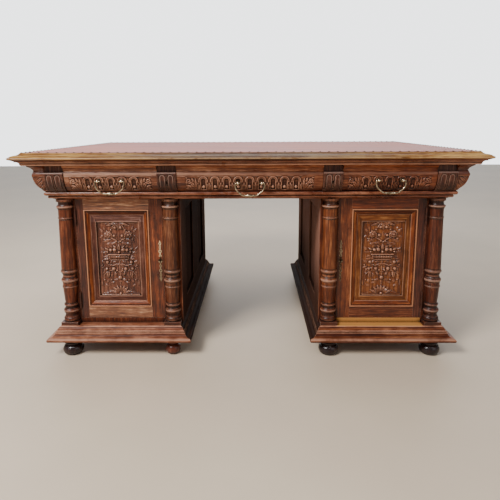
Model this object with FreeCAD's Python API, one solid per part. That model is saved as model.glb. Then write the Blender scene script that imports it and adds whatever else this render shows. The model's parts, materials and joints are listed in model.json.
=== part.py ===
"""Partners desk in stained oak: two cupboard pedestals, a drawer frieze and a leather-covered top.

Millimetres. X runs to the right, Y to the back, Z up. The origin is on the floor, in the middle of the desk.
The desk is the same from both long sides, so pieces are built for the front right quarter and mirrored.
An inset is a distance inwards from the edge of the top, the same from all four sides.
"""
import FreeCAD, Part
import os
from math import cos, tan

Vector = FreeCAD.Vector
ORIGIN = Vector(0, 0, 0)
X_AXIS = Vector(1, 0, 0)
Y_AXIS = Vector(0, 1, 0)
Z_AXIS = Vector(0, 0, 1)

# ---------------------------------------------------------------- overall sizes
TOP_WIDTH = 1644.0
TOP_DEPTH = 1080.0
TOP_HEIGHT = 770.0              # floor to the face of the leather
KNEEHOLE_WIDTH = 520.0          # between the pedestals
CARCASE_INSET = 133.0           # edge of the top to the pedestals' outer faces

# ---------------------------------------------------------------- heights of the layers
SLAB_THICK = 28.0
CORNICE_HEIGHT = 17.0
FRIEZE_HEIGHT = 98.0
WAIST_HEIGHT = 30.0
PLINTH_HEIGHT = 52.0
FOOT_HEIGHT = 58.0

# ---------------------------------------------------------------- clearances
RUNNING_GAP = 0.3               # between faces that slide or shut against each other
DOOR_GAP = 1.5                  # round a door
DRAWER_GAP = 1.2                # round a drawer front
PIN_GAP = 0.08                  # radial, round a hinge pin or a bail's end
MITRE_GAP = 0.05                # taken off each end of a mitred length

# ---------------------------------------------------------------- top
EDGE_WIDTH = 31.5               # moulded wooden edge round the leather
EDGE_DROP = 19.0                # leather down to the nose of the edge
EDGE_LIP = 1.0                  # leather down to the edge's inner corner
EDGE_STEP_INSET = 19.0          # where the edge's round meets its hollow
EDGE_STEP_DROP = 8.3
EDGE_SWELL = 1.6
NOSE_RADIUS = 4.0
UNDERCUT = 15.0                 # set back of the slab's underside
LEATHER_THICK = 2.0
NAIL_SPACING = 30.0
NAIL_INSET = 5.0                # leather edge to the nails' centres
NAIL_RADIUS = 4.2
NAIL_RISE = 2.2
EDGE_LENGTH_WIDTH = 74.0        # width of the mitred lengths that carry the moulded edge

# ---------------------------------------------------------------- upper cornice
CORNICE_SETBACK = 18.0          # its bottom edge behind the slab's underside
CORNICE_FILLET = 3.0
CORNICE_FILLET_SETBACK = 1.0
CORNICE_BEAD_HEIGHT = 7.7
CORNICE_BEAD_SETBACK = 13.5
CORNICE_SWELL = 1.9

# ---------------------------------------------------------------- frieze section
CYMA_INSET = 44.0               # drawer fronts' top moulding
CYMA_LIP = 4.0
CYMA_DROP = 20.0
CYMA_HOLLOW = 2.5
FRIEZE_NECK_INSET = 60.5        # narrowest line under the top moulding
FRIEZE_NECK = 2.0
BULGE_INSET = 55.5
BULGE_DROP = 37.0               # top of the frieze down to its fullest line
BULGE_SWELL = 1.2
SHOULDER_INSET = 60.0
SHOULDER_DROP = 59.0
SHOULDER_SWELL = 0.8
FRIEZE_FOOT_INSET = 87.0
BELLY_SWELL = 4.0               # how far the lower face swells past a straight line
FRIEZE_BACK_INSET = 105.5       # back of the brackets and end boards
BRACKET_PROUD = 4.5
BRACKET_LIP = 1.0               # its top edge behind its fullest line
BRACKET_DROP = 26.0             # top of the frieze down to a bracket's top
BRACKET_JOINT = 0.5             # a corner bracket to the end board
BRACKET_TOP_INSET = 64.0        # recessed face above a bracket
MIDDLE_BRACKET_WIDTH = 67.0
MIDDLE_BRACKET_SETBACK = 1.0    # kneehole face to the middle bracket's near edge, inwards
CORNER_BRACKET_WIDTH = 68.0
CORNER_BRACKET_INSET = 97.5     # edge of the top to the corner bracket's outer edge
TONGUE_WIDTH = 19.0
TONGUE_DEPTH = 3.0
TONGUE_GROOVE = 3.0
TONGUE_APART = 4.0              # between the grooves of the two tongues
TONGUE_TOP_DROP = 6.0           # bracket top down to the tongues' round tops
KEYHOLE_RADIUS = 3.0
KEYHOLE_SLOT = 9.0
KEYHOLE_DROP = 60.0             # top of the frieze down to a bracket's keyhole
LOCK_SIZE = 40.0
LOCK_THICK = 12.0

# ---------------------------------------------------------------- waist moulding
WAIST_TOP_INSET = 87.0
UPPER_BEAD_INSET = 81.0
UPPER_BEAD_HEIGHT = 14.0
LOWER_BEAD_INSET = 91.0
LOWER_BEAD_HEIGHT = 9.0
LOWER_BEAD_SWELL = 3.0
BEADS_APART = 1.5
WAIST_FOOT_INSET = 108.0
WAIST_HOLLOW = 1.5
FLOOR_BOARD_THICK = 18.0

# ---------------------------------------------------------------- inside the frieze
PARTITION_THICK = 22.0
KICKER_HEIGHT = 19.0            # the part of the top rails that reaches down into the frieze
TOP_RAIL_DEPTH = 55.0
DIVIDER_THICK = 16.0
BEARER_HEIGHT = 4.0
BEARER_REACH = 16.0             # how far a bearer reaches in under the drawer's side
GUIDE_HEIGHT = 26.0

# ---------------------------------------------------------------- drawers
DRAWER_BACK_SPACE = 26.0        # back of a drawer to the middle divider
DRAWER_SIDE_SETBACK = 8.0       # end of the front to the side of the box
DRAWER_SIDE_THICK = 12.0
DRAWER_BACK_THICK = 12.0
DRAWER_BOTTOM_THICK = 7.0
DRAWER_BOTTOM_LIFT = 7.0        # bottom board above the lower edge of the sides
DRAWER_HEADROOM = 2.5           # above the sides, under the kicker
DRAWER_BACK_DROP = 10.0         # the back is lower than the sides

# ---------------------------------------------------------------- handles
HANDLE_SPREAD = 84.0            # between the two posts
SIDE_HANDLE_DROP = 56.0         # top of the frieze down to the posts
CENTRE_HANDLE_DROP = 64.0
BAIL_INSET = 45.5               # edge of the top to the bail's hinge line
ROSETTE_RADIUS = 8.0
ROSETTE_INSET = 54.0            # edge of the top to a rosette's face
ROSETTE_CHAMFER = 1.2
POST_RADIUS = 4.2
POST_HEAD_RADIUS = 5.4
SHANK_RADIUS = 2.5
SHANK_REACH = 6.0               # shank past the inside of the drawer front
NUT_RADIUS = 6.5
NUT_THICK = 4.0
BAIL_WIRE = 2.7                 # radius of the bail
BAIL_PIN = 2.2                  # radius of its ends
BAIL_PIN_REACH = 8.0            # inwards past the middle of a post
BAIL_OUTREACH = 9.0             # outwards past the middle of a post
BAIL_SHOULDER = 22.0            # straight drop of the outer part
BAIL_DROP = 44.0
BAIL_FLAT = 26.0                # half the length of the level grip
BAIL_ELBOW_GAP = 0.5            # a bail's first bend to the post's head
BAIL_SHOULDER_RADIUS = 28.0
BAIL_SWEEP_RADIUS = 20.0
KNOP_LENGTH = 36.0
KNOP_RADIUS = 5.4
KNOP_NECK_RADIUS = 3.2
KNOP_BEAD_RADIUS = 4.6
KNOP_BEAD_LENGTH = 6.0

# ---------------------------------------------------------------- pedestals
POST_SIZE = 37.0
INNER_POST_WIDTH = 67.5
SIDE_FRAME_THICK = 26.0
SIDE_STILE = 80.0               # beside each corner post
SIDE_MUNTIN = 180.0
SIDE_TOP_RAIL = 72.0
SIDE_BOTTOM_RAIL = 70.0
SIDE_PANEL_THICK = 12.0
SIDE_PANEL_SETBACK = 7.0
PANEL_BEVEL = 18.0
PANEL_MARGIN = 2.0              # edge of a panel to the foot of its bevel
PANEL_RAISE = 4.0
DOOR_RAIL_BELOW = 17.5          # rail under the doors
DOOR_STOP_HEIGHT = 50.0
BOTTOM_BOARD_THICK = 16.0
MIDDLE_BOARD_THICK = 18.0
SHELF_THICK = 18.0
SHELF_CLEARANCE = 5.0           # a door's lock to the front of a shelf
SHELF_HEIGHT = 240.0            # cupboard floor up to the shelf
BEARER_SECTION = 15.0           # shelf bearers

# ---------------------------------------------------------------- doors
DOOR_THICK = 24.0
DOOR_LOCK_STILE = 49.0
DOOR_HINGE_STILE = 29.0
DOOR_TOP_RAIL = 42.0
DOOR_BOTTOM_RAIL = 43.0
BEAD_WIDTH = 6.0
BEAD_BASE = 1.0                 # straight side of the bead, in front of the door's face
BEAD_SWELL = 2.0
SLOPE_WIDTH = 16.0
SLOPE_HOLLOW = 1.5
BAND_DEPTH = 8.0                # flat band below the door's face
BAND_WIDTH = 20.0               # beside and under the carved field
BAND_TOP = 28.0                 # above it
FIELD_DEPTH = 15.0              # ground of the carved field below the door's face
PANEL_TONGUE = 4.0              # thickness of the panel's edge behind the moulding
MOULDING_DEPTH = 18.0           # moulding below the door's face

# ---------------------------------------------------------------- door fittings
HINGE_LENGTH = 60.0
HINGE_RADIUS = 3.5
HINGE_PIN_RADIUS = 1.6
HINGE_STANDOFF = 3.8            # hinge line in front of the door's face
LEAF_THICK = 1.5
LEAF_WIDTH = 20.0
HINGE_FROM_END = 70.0           # end of the door to the middle of a hinge
HALF_KNUCKLE = HINGE_LENGTH / 6  # three knuckles share a hinge's length
KNUCKLE_GAP = 0.3
PIN_HEAD_HEIGHT = 2.5
PIN_HEAD_RADIUS = 2.6
ESCUTCHEON_SETBACK = 11.5       # door's free edge to the keyhole
ESCUTCHEON_LENGTH = 164.0
ESCUTCHEON_THICK = 1.5
ESCUTCHEON_STEM = 1.8           # half the stem's width
ESCUTCHEON_BOSS = 8.0           # radius round the keyhole
ESCUTCHEON_RINGS = ((0.24, 5.0), (0.46, 6.2), (0.66, 4.2), (0.82, 5.0))  # share of half the length, radius
ESCUTCHEON_RING_HOLE = 0.5      # hole of a ring, as a share of its radius
ESCUTCHEON_TIP = 13.0
ESCUTCHEON_TIP_WIDTH = 8.0
DOOR_KEYHOLE_HEIGHT = 226.0     # door's lower edge to the keyhole
DOOR_LOCK_WIDTH = 36.0
DOOR_LOCK_HEIGHT = 62.0
DOOR_LOCK_THICK = 13.0
DOOR_LOCK_SETBACK = 2.0
BOLT_HEIGHT = 16.0
BOLT_THICK = 6.0
BOLT_REACH = 1.5                # drawn back, flush with the door's edge

# ---------------------------------------------------------------- columns, blocks and feet
COLUMN_SETBACK = 37.0           # kneehole face to the inner columns' centres
BLOCK_SIZE = 64.0
BLOCK_HEIGHT = 12.5
FOOT_INSET = 104.0              # edge of the top to the feet's centres, front to back
FOOT_OUTER_INSET = 141.0        # edge of the top to the outer feet's centres, sideways
FOOT_KNEE_SETBACK = 37.0        # kneehole face to the inner feet's centres
SLIMMER_FOOT = 9.0              # the replacement foot's radius is this much less

# Turned members from the foot up: kind, height and radius. REST is whatever height is left.
REST = None
ROUND_SHARE = 0.32              # swell of a round member, as a share of its height
HOLLOW_SHARE = 0.16
COLUMN_TURNING = (
    ("round", 17.5, 30.5), ("hollow", 16.0, 24.5), ("round", 16.0, 30.0), ("hollow", 11.0, 23.0),
    ("round", 9.0, 27.0), ("flat", 2.5, 22.5), ("taper", 60.5, 27.0), ("round", 7.0, 29.0),
    ("flat", 13.0, 27.0), ("round", 18.0, 31.2), ("hollow", 17.0, 24.5), ("flat", 3.0, 27.5),
    ("round", 12.0, 31.2), ("flat", 3.5, 28.5), ("taper", REST, 26.0), ("flat", 2.0, 24.5),
    ("round", 6.0, 28.0), ("flat", 31.0, 25.5), ("flat", 4.0, 27.5), ("round", 9.5, 31.2),
    ("hollow", 15.5, 24.0), ("flat", 10.5, 31.0),
)
FOOT_TURNING = (("round", 40.0, 37.5), ("flat", 2.5, 25.0), ("round", 9.0, 31.0), ("flat", REST, 27.0))

# ---------------------------------------------------------------- plinth section
PLINTH_INSET = 58.0             # edge of the top to the plinth's nose
PLINTH_PROJECTION = 43.0        # nose in front of the ledge's edge
PLINTH_KNEE_PROJECTION = 37.5   # nose into the kneehole
PLINTH_OVOLO_WIDTH = 13.0
PLINTH_OVOLO_HEIGHT = 16.0
PLINTH_OVOLO_SWELL = 2.5
PLINTH_STEP = 3.0               # width of each of its two steps
UPPER_STEP_HEIGHT = 6.0
LOWER_STEP_HEIGHT = 3.0
PLINTH_COVE_INSET = 9.0         # nose to the foot of the cove
PLINTH_COVE = 3.5
PLINTH_NOSE = 7.0               # how far the round nose stands out
PLINTH_NOSE_HEIGHT = 16.0
PLINTH_WIDTH = 104.0            # width of the plinth's lengths

# ---------------------------------------------------------------- places worked out from the sizes
HALF_WIDTH = TOP_WIDTH / 2
HALF_DEPTH = TOP_DEPTH / 2
KNEE = KNEEHOLE_WIDTH / 2
SIDE_X = HALF_WIDTH - CARCASE_INSET                 # pedestal's outer face
FACE_Y = -(HALF_DEPTH - CARCASE_INSET)              # pedestal's front face
SLAB_Z = TOP_HEIGHT - SLAB_THICK
CORNICE_Z = SLAB_Z - CORNICE_HEIGHT
FRIEZE_Z = CORNICE_Z - FRIEZE_HEIGHT
WAIST_Z = FRIEZE_Z - WAIST_HEIGHT
FLOOR_Z = FRIEZE_Z - FLOOR_BOARD_THICK              # underside of the board below the drawers
PLINTH_Z = FOOT_HEIGHT
CARCASE_Z = PLINTH_Z + PLINTH_HEIGHT                # foot of the pedestals, and the ledge
CUPBOARD_Z = CARCASE_Z + DOOR_RAIL_BELOW
KICKER_Z = CORNICE_Z - KICKER_HEIGHT
BLOCK_Z = CARCASE_Z + BLOCK_HEIGHT
FRIEZE_BACK_X = HALF_WIDTH - FRIEZE_BACK_INSET
FRIEZE_BACK_Y = -(HALF_DEPTH - FRIEZE_BACK_INSET)

MIDDLE_BRACKET_X = (KNEE - MIDDLE_BRACKET_SETBACK, KNEE - MIDDLE_BRACKET_SETBACK + MIDDLE_BRACKET_WIDTH)
CORNER_BRACKET_END = HALF_WIDTH - CORNER_BRACKET_INSET
CORNER_BRACKET_X = (CORNER_BRACKET_END - CORNER_BRACKET_WIDTH, CORNER_BRACKET_END)
MIDDLE_PARTITION_X = sum(MIDDLE_BRACKET_X) / 2
OUTER_PARTITION_X = FRIEZE_BACK_X - PARTITION_THICK / 2

DOOR_INNER_X = KNEE + INNER_POST_WIDTH + DOOR_GAP
DOOR_OUTER_X = SIDE_X - POST_SIZE - DOOR_GAP / 2
HINGE_POST_X = SIDE_X - POST_SIZE + DOOR_GAP / 2
WAIST_BACK_INSET = CARCASE_INSET
POST_BACK_Y = FACE_Y + POST_SIZE
DOOR_BACK_Y = FACE_Y + DOOR_THICK
SHELF_FRONT_Y = DOOR_BACK_Y + DOOR_LOCK_THICK + SHELF_CLEARANCE
DOOR_BOTTOM_Z = CUPBOARD_Z + DOOR_GAP
DOOR_TOP_Z = WAIST_Z - DOOR_GAP
HINGE_X = (DOOR_OUTER_X + HINGE_POST_X) / 2
HINGE_Y = FACE_Y - HINGE_STANDOFF

PAST = 1.0                      # how far a cutter runs past what it cuts
TOUCHING = 1e-6                 # two points nearer than this are one

NODES = {}


# ---------------------------------------------------------------- helpers
def box(x0, x1, y0, y1, z0, z1):
    """A block between two corners, given in any order."""
    low = Vector(min(x0, x1), min(y0, y1), min(z0, z1))
    return Part.makeBox(abs(x1 - x0), abs(y1 - y0), abs(z1 - z0), low)


def cylinder(radius, start, end):
    """A round bar between two points."""
    along = end - start
    return Part.makeCylinder(radius, along.Length, start, along)


def mirrored(shape, side_x, side_y):
    """A piece built for the front right quarter (+1, -1), moved to another quarter."""
    result = shape
    if side_x < 0:
        result = result.mirror(ORIGIN, X_AXIS)
    if side_y > 0:
        result = result.mirror(ORIGIN, Y_AXIS)
    return result


def facing(shape, side_y):
    """A piece built for the front, turned round to face the back where side_y is +1."""
    if side_y < 0:
        return shape
    result = shape.copy()
    result.rotate(ORIGIN, Z_AXIS, 180)
    return result


def four_corners(shape):
    """The piece and its three mirror images."""
    return [mirrored(shape, side_x, side_y) for side_y in (-1, 1) for side_x in (-1, 1)]


def keep(name, *shapes):
    """Puts solids into a node."""
    for shape in shapes:
        NODES.setdefault(name, []).extend(shape.Solids)


class Outline:
    """A closed section of straight stretches and arcs, in inset (or radius) and height."""

    def __init__(self, inset, height):
        self.start = self.here = Vector(0, inset, height)
        self.edges = []

    def to(self, inset, height):
        there = Vector(0, inset, height)
        if (there - self.here).Length > TOUCHING:
            self.edges.append(Part.makeLine(self.here, there))
            self.here = there

    def arc(self, inset, height, sag):
        """An arc that swells by sag to the left of its chord, which for a negative sag is a hollow."""
        there = Vector(0, inset, height)
        chord = there - self.here
        across = Vector(0, -chord.z, chord.y)
        middle = (self.here + there) * 0.5 + across * (sag / chord.Length)
        self.edges.append(Part.Arc(self.here, middle, there).toShape())
        self.here = there

    def face(self):
        self.to(self.start.y, self.start.z)
        return Part.Face(Part.Wire(self.edges))


def moulding_length(face, half_length, half_across, width, gap):
    """One mitred length along X, its outer edge at -half_across in Y."""
    tip, heel = half_length - gap, half_length - gap - width
    bar = face.copy()
    bar.translate(Vector(-half_length, -half_across, 0))
    bar = bar.extrude(Vector(2 * half_length, 0, 0))
    span = bar.BoundBox
    corners = [
        Vector(-tip, -half_across, 0),
        Vector(tip, -half_across, 0),
        Vector(heel, width - half_across, 0),
        Vector(-heel, width - half_across, 0),
    ]
    mitre = Part.Face(Part.makePolygon(corners + corners[:1]))
    mitre.translate(Vector(0, 0, span.ZMin - PAST))
    return bar.common(mitre.extrude(Vector(0, 0, span.ZLength + 2 * PAST)))


def mitred_frame(face, half_x, half_y, width, gap=MITRE_GAP):
    """Four mitred lengths of one section round a rectangle; the section's inset 0 is the rectangle's edge."""
    front = moulding_length(face, half_x, half_y, width, gap)
    right = moulding_length(face, half_y, half_x, width, gap)
    right.rotate(ORIGIN, Z_AXIS, 90)
    back = front.mirror(ORIGIN, Y_AXIS)
    left = right.mirror(ORIGIN, X_AXIS)
    return [front, right, back, left]


def turned(members, low, high, centre_x, centre_y, slimmer=0.0):
    """A turning between two heights, from its members."""
    rest = high - low - sum(height for kind, height, radius in members if height is not REST)
    outline = Outline(0, low)
    z = low
    for kind, height, radius in members:
        height = rest if height is REST else height
        radius = radius - slimmer
        z += height
        if kind == "round":
            swell = height * ROUND_SHARE
            outline.to(radius - swell, z - height)
            outline.arc(radius - swell, z, -swell)
        elif kind == "hollow":
            sink = height * HOLLOW_SHARE
            outline.to(radius + sink, z - height)
            outline.arc(radius + sink, z, sink)
        elif kind == "taper":
            outline.to(radius, z)
        else:
            outline.to(radius, z - height)
            outline.to(radius, z)
    outline.to(0, high)
    turning = outline.face().revolve(ORIGIN, Z_AXIS, 360)
    turning.translate(Vector(centre_x, centre_y, 0))
    return turning


# ---------------------------------------------------------------- sections
def top_edge_section():
    """Moulded edge of the top: an ogee down to a round nose, then the set-back underside."""
    nose_z = TOP_HEIGHT - EDGE_DROP
    seat_z = TOP_HEIGHT - LEATHER_THICK
    outline = Outline(EDGE_LENGTH_WIDTH, SLAB_Z)
    outline.to(UNDERCUT, SLAB_Z)
    outline.to(NOSE_RADIUS, nose_z - NOSE_RADIUS)
    outline.arc(NOSE_RADIUS, nose_z + NOSE_RADIUS, NOSE_RADIUS)
    outline.arc(EDGE_STEP_INSET, TOP_HEIGHT - EDGE_STEP_DROP, EDGE_SWELL)
    outline.arc(EDGE_WIDTH, TOP_HEIGHT - EDGE_LIP, -EDGE_SWELL)
    outline.to(EDGE_WIDTH, seat_z)
    outline.to(EDGE_LENGTH_WIDTH, seat_z)
    return outline.face()


def cornice_section():
    """Upper cornice: a fillet over a hollow over a small round."""
    outline = Outline(FRIEZE_BACK_INSET, CORNICE_Z)
    outline.to(UNDERCUT + CORNICE_SETBACK, CORNICE_Z)
    outline.arc(UNDERCUT + CORNICE_BEAD_SETBACK, CORNICE_Z + CORNICE_BEAD_HEIGHT, CORNICE_SWELL)
    outline.arc(UNDERCUT + CORNICE_FILLET_SETBACK, SLAB_Z - CORNICE_FILLET, -CORNICE_SWELL)
    outline.to(UNDERCUT + CORNICE_FILLET_SETBACK, SLAB_Z)
    outline.to(FRIEZE_BACK_INSET, SLAB_Z)
    return outline.face()


def frieze_curve(outline, proud, foot_gap):
    """The swelling face, from under the top moulding to the foot of the frieze."""
    outline.arc(BULGE_INSET - proud, CORNICE_Z - BULGE_DROP, -BULGE_SWELL)
    outline.arc(SHOULDER_INSET - proud, CORNICE_Z - SHOULDER_DROP, -SHOULDER_SWELL)
    outline.arc(FRIEZE_FOOT_INSET - proud, FRIEZE_Z + foot_gap, -BELLY_SWELL)


def frieze_section(back_inset, gap=0.0):
    """Section of a drawer front or an end board, with the top moulding on it."""
    outline = Outline(back_inset, FRIEZE_Z + gap)
    outline.to(back_inset, CORNICE_Z - gap)
    outline.to(CYMA_INSET, CORNICE_Z - gap)
    outline.to(CYMA_INSET, CORNICE_Z - CYMA_LIP)
    outline.arc(FRIEZE_NECK_INSET, CORNICE_Z - CYMA_DROP, CYMA_HOLLOW)
    outline.to(FRIEZE_NECK_INSET, CORNICE_Z - CYMA_DROP - FRIEZE_NECK)
    frieze_curve(outline, 0.0, gap)
    return outline.face()


def bracket_section():
    """Section of a bracket: proud of the drawers, and cut back above its top."""
    top = CORNICE_Z - BRACKET_DROP
    outline = Outline(FRIEZE_BACK_INSET, FRIEZE_Z)
    outline.to(FRIEZE_BACK_INSET, CORNICE_Z)
    outline.to(BRACKET_TOP_INSET, CORNICE_Z)
    outline.to(BRACKET_TOP_INSET, top)
    outline.to(BULGE_INSET - BRACKET_PROUD + BRACKET_LIP, top)
    frieze_curve(outline, BRACKET_PROUD, 0.0)
    return outline.face()


def waist_section():
    """Two beads, one above the other, over a hollow."""
    upper_foot = FRIEZE_Z - UPPER_BEAD_HEIGHT
    lower_top = upper_foot - BEADS_APART
    lower_foot = lower_top - LOWER_BEAD_HEIGHT
    outline = Outline(WAIST_BACK_INSET, WAIST_Z)
    outline.to(WAIST_BACK_INSET, FRIEZE_Z)
    outline.to(WAIST_TOP_INSET, FRIEZE_Z)
    outline.arc(WAIST_TOP_INSET, upper_foot, UPPER_BEAD_INSET - WAIST_TOP_INSET)
    outline.to(LOWER_BEAD_INSET + LOWER_BEAD_SWELL, lower_top)
    outline.arc(LOWER_BEAD_INSET + LOWER_BEAD_SWELL, lower_foot, -LOWER_BEAD_SWELL)
    outline.arc(WAIST_FOOT_INSET, WAIST_Z, WAIST_HOLLOW)
    return outline.face()


def plinth_section():
    """Plinth: a round nose, a cove, two steps and an ovolo up to the ledge."""
    ovolo_inset = PLINTH_PROJECTION - PLINTH_OVOLO_WIDTH
    ovolo_z = CARCASE_Z - PLINTH_OVOLO_HEIGHT
    step_z = ovolo_z - UPPER_STEP_HEIGHT
    outline = Outline(PLINTH_WIDTH, PLINTH_Z)
    outline.to(PLINTH_WIDTH, CARCASE_Z)
    outline.to(PLINTH_PROJECTION, CARCASE_Z)
    outline.arc(ovolo_inset, ovolo_z, -PLINTH_OVOLO_SWELL)
    outline.to(ovolo_inset - PLINTH_STEP, ovolo_z)
    outline.to(ovolo_inset - PLINTH_STEP, step_z)
    outline.to(ovolo_inset - 2 * PLINTH_STEP, step_z)
    outline.to(ovolo_inset - 2 * PLINTH_STEP, step_z - LOWER_STEP_HEIGHT)
    outline.arc(PLINTH_COVE_INSET, PLINTH_Z + PLINTH_NOSE_HEIGHT, PLINTH_COVE)
    outline.to(PLINTH_NOSE, PLINTH_Z + PLINTH_NOSE_HEIGHT)
    outline.arc(PLINTH_NOSE, PLINTH_Z, -PLINTH_NOSE)
    return outline.face()


# ---------------------------------------------------------------- top
def build_top():
    """Board with mitred moulded lengths, leather and its nails."""
    seat_z = TOP_HEIGHT - LEATHER_THICK
    keep("top_slab", *mitred_frame(top_edge_section(), HALF_WIDTH, HALF_DEPTH, EDGE_LENGTH_WIDTH))
    board_x, board_y = HALF_WIDTH - EDGE_LENGTH_WIDTH, HALF_DEPTH - EDGE_LENGTH_WIDTH
    keep("top_slab", box(-board_x, board_x, -board_y, board_y, SLAB_Z, seat_z))

    leather_x, leather_y = HALF_WIDTH - EDGE_WIDTH, HALF_DEPTH - EDGE_WIDTH
    keep("leather_top", box(-leather_x, leather_x, -leather_y, leather_y, seat_z, TOP_HEIGHT))
    build_nails(leather_x - NAIL_INSET, leather_y - NAIL_INSET)

    keep("upper_cornice", *mitred_frame(cornice_section(), HALF_WIDTH, HALF_DEPTH, FRIEZE_BACK_INSET))


def build_nails(half_x, half_y):
    """Domed nails round the leather, evenly spaced along each side."""
    dome_radius = (NAIL_RADIUS ** 2 + NAIL_RISE ** 2) / (2 * NAIL_RISE)
    dome = Part.makeSphere(dome_radius, Vector(0, 0, TOP_HEIGHT + NAIL_RISE - dome_radius))
    reach = 2 * dome_radius
    nail = dome.common(box(-reach, reach, -reach, reach, TOP_HEIGHT, TOP_HEIGHT + reach))
    along_x = max(1, round(2 * half_x / NAIL_SPACING))
    along_y = max(1, round(2 * half_y / NAIL_SPACING))
    places = []
    for step in range(along_x + 1):
        x = -half_x + 2 * half_x * step / along_x
        places += [(x, -half_y), (x, half_y)]
    for step in range(1, along_y):
        y = -half_y + 2 * half_y * step / along_y
        places += [(-half_x, y), (half_x, y)]
    for x, y in places:
        placed = nail.copy()
        placed.translate(Vector(x, y, 0))
        keep("leather_nails", placed)


# ---------------------------------------------------------------- frieze
def build_frieze_ends():
    """End boards with the frieze's section, returned round the corners as far as the corner brackets."""
    ring = mitred_frame(frieze_section(FRIEZE_BACK_INSET), HALF_WIDTH, HALF_DEPTH, FRIEZE_BACK_INSET, 0.0)
    front, right, back, left = ring
    heights = (FRIEZE_Z - PAST, CORNICE_Z + PAST)
    beyond = box(CORNER_BRACKET_END + BRACKET_JOINT, HALF_WIDTH, -HALF_DEPTH, HALF_DEPTH, *heights)
    between_brackets = box(FRIEZE_BACK_X - PAST, HALF_WIDTH, FRIEZE_BACK_Y, -FRIEZE_BACK_Y, *heights)
    side = right.common(beyond.fuse(between_brackets))
    returns = [length.common(beyond) for length in (front, back)]
    end = side.multiFuse(returns).removeSplitter()
    keep("frieze_end_boards", end, end.mirror(ORIGIN, X_AXIS))


def keyhole_cutter(x, y0, y1, z):
    """A keyhole through a board: a round hole over a slot."""
    round_hole = cylinder(KEYHOLE_RADIUS, Vector(x, y0, z), Vector(x, y1, z))
    half_slot = KEYHOLE_RADIUS / 2
    return round_hole.fuse(box(x - half_slot, x + half_slot, y0, y1, z - KEYHOLE_SLOT, z))


def arch_bar(x, top, half_width):
    """A bar along Y with a round top, from the front of the desk through a bracket, down past its foot."""
    head_z = top - half_width
    head = cylinder(half_width, Vector(x, -HALF_DEPTH, head_z), Vector(x, FRIEZE_BACK_Y, head_z))
    return head.fuse(box(x - half_width, x + half_width, -HALF_DEPTH, FRIEZE_BACK_Y, FRIEZE_Z - PAST, head_z))


def tongue_grooves(centre):
    """Grooves that outline the two round-topped tongues of a bracket."""
    top = CORNICE_Z - BRACKET_DROP - TONGUE_TOP_DROP
    half = TONGUE_WIDTH / 2
    cutters = []
    for side in (-1, 1):
        x = centre + side * (half + TONGUE_GROOVE + TONGUE_APART / 2)
        cutters.append(arch_bar(x, top, half + TONGUE_GROOVE).cut(arch_bar(x, top - TONGUE_GROOVE, half)))
    return cutters


def bracket_bar(x0, x1, setback):
    """Plain bracket between two places along the desk, its section moved back."""
    section = bracket_section()
    section.translate(Vector(x0, setback - HALF_DEPTH, 0))
    return section.extrude(Vector(x1 - x0, 0, 0))


def build_brackets():
    """Brackets between the drawers, with tongues; the middle ones have keyholes and a lock behind."""
    for (x0, x1), has_lock in ((MIDDLE_BRACKET_X, True), (CORNER_BRACKET_X, False)):
        bracket = bracket_bar(x0, x1, 0.0)
        core = bracket_bar(x0, x1, TONGUE_DEPTH)
        centre = (x0 + x1) / 2
        for groove in tongue_grooves(centre):
            bracket = bracket.cut(groove.cut(core))
        if has_lock:
            key_z = CORNICE_Z - KEYHOLE_DROP
            half = LOCK_SIZE / 2
            lock_front = FRIEZE_BACK_Y - LOCK_THICK
            case = box(centre - half, centre + half, lock_front, FRIEZE_BACK_Y, key_z - half, key_z + half)
            bracket = bracket.cut(case)
            bracket = bracket.cut(keyhole_cutter(centre, -HALF_DEPTH, FRIEZE_BACK_Y, key_z))
            lock = case.cut(keyhole_cutter(centre, lock_front - PAST, lock_front + LOCK_THICK / 2, key_z))
            keep("bracket_locks", *four_corners(lock))
        keep("frieze_brackets", *four_corners(bracket))


def build_frieze_frame():
    """Partitions, middle dividers, and the rails that carry the top."""
    rail_back = FRIEZE_BACK_Y + TOP_RAIL_DEPTH
    for x in (MIDDLE_PARTITION_X, OUTER_PARTITION_X):
        half = PARTITION_THICK / 2
        for side in (-1, 1):
            keep("frieze_frame", box(side * (x - half), side * (x + half), FRIEZE_BACK_Y, -FRIEZE_BACK_Y,
                                     FRIEZE_Z, KICKER_Z))
            keep("frieze_frame", box(side * (x - half), side * (x + half), rail_back, -rail_back,
                                     KICKER_Z, SLAB_Z))
    for side in (-1, 1):
        keep("frieze_frame", box(-FRIEZE_BACK_X, FRIEZE_BACK_X, side * FRIEZE_BACK_Y, side * rail_back,
                                 KICKER_Z, SLAB_Z))
    bays = [(-MIDDLE_PARTITION_X, MIDDLE_PARTITION_X), (MIDDLE_PARTITION_X, OUTER_PARTITION_X),
            (-OUTER_PARTITION_X, -MIDDLE_PARTITION_X)]
    for low, high in bays:
        keep("frieze_frame", box(low + PARTITION_THICK / 2, high - PARTITION_THICK / 2,
                                 -DIVIDER_THICK / 2, DIVIDER_THICK / 2, FRIEZE_Z, KICKER_Z))


def build_waist():
    """Waist moulding, and the board that the drawers stand over."""
    keep("waist_moulding", *mitred_frame(waist_section(), HALF_WIDTH, HALF_DEPTH, WAIST_BACK_INSET))
    board_x, board_y = HALF_WIDTH - WAIST_BACK_INSET, HALF_DEPTH - WAIST_BACK_INSET
    keep("frieze_floor", box(-board_x, board_x, -board_y, board_y, FLOOR_Z, FRIEZE_Z))


# ---------------------------------------------------------------- drawers
def drawer_span(place):
    """Left and right ends of a drawer front: place is -1, 0 or 1."""
    if place == 0:
        half = MIDDLE_BRACKET_X[0] - DRAWER_GAP
        return -half, half
    near, far = MIDDLE_BRACKET_X[1] + DRAWER_GAP, CORNER_BRACKET_X[0] - DRAWER_GAP
    return (near, far) if place > 0 else (-far, -near)


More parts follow.
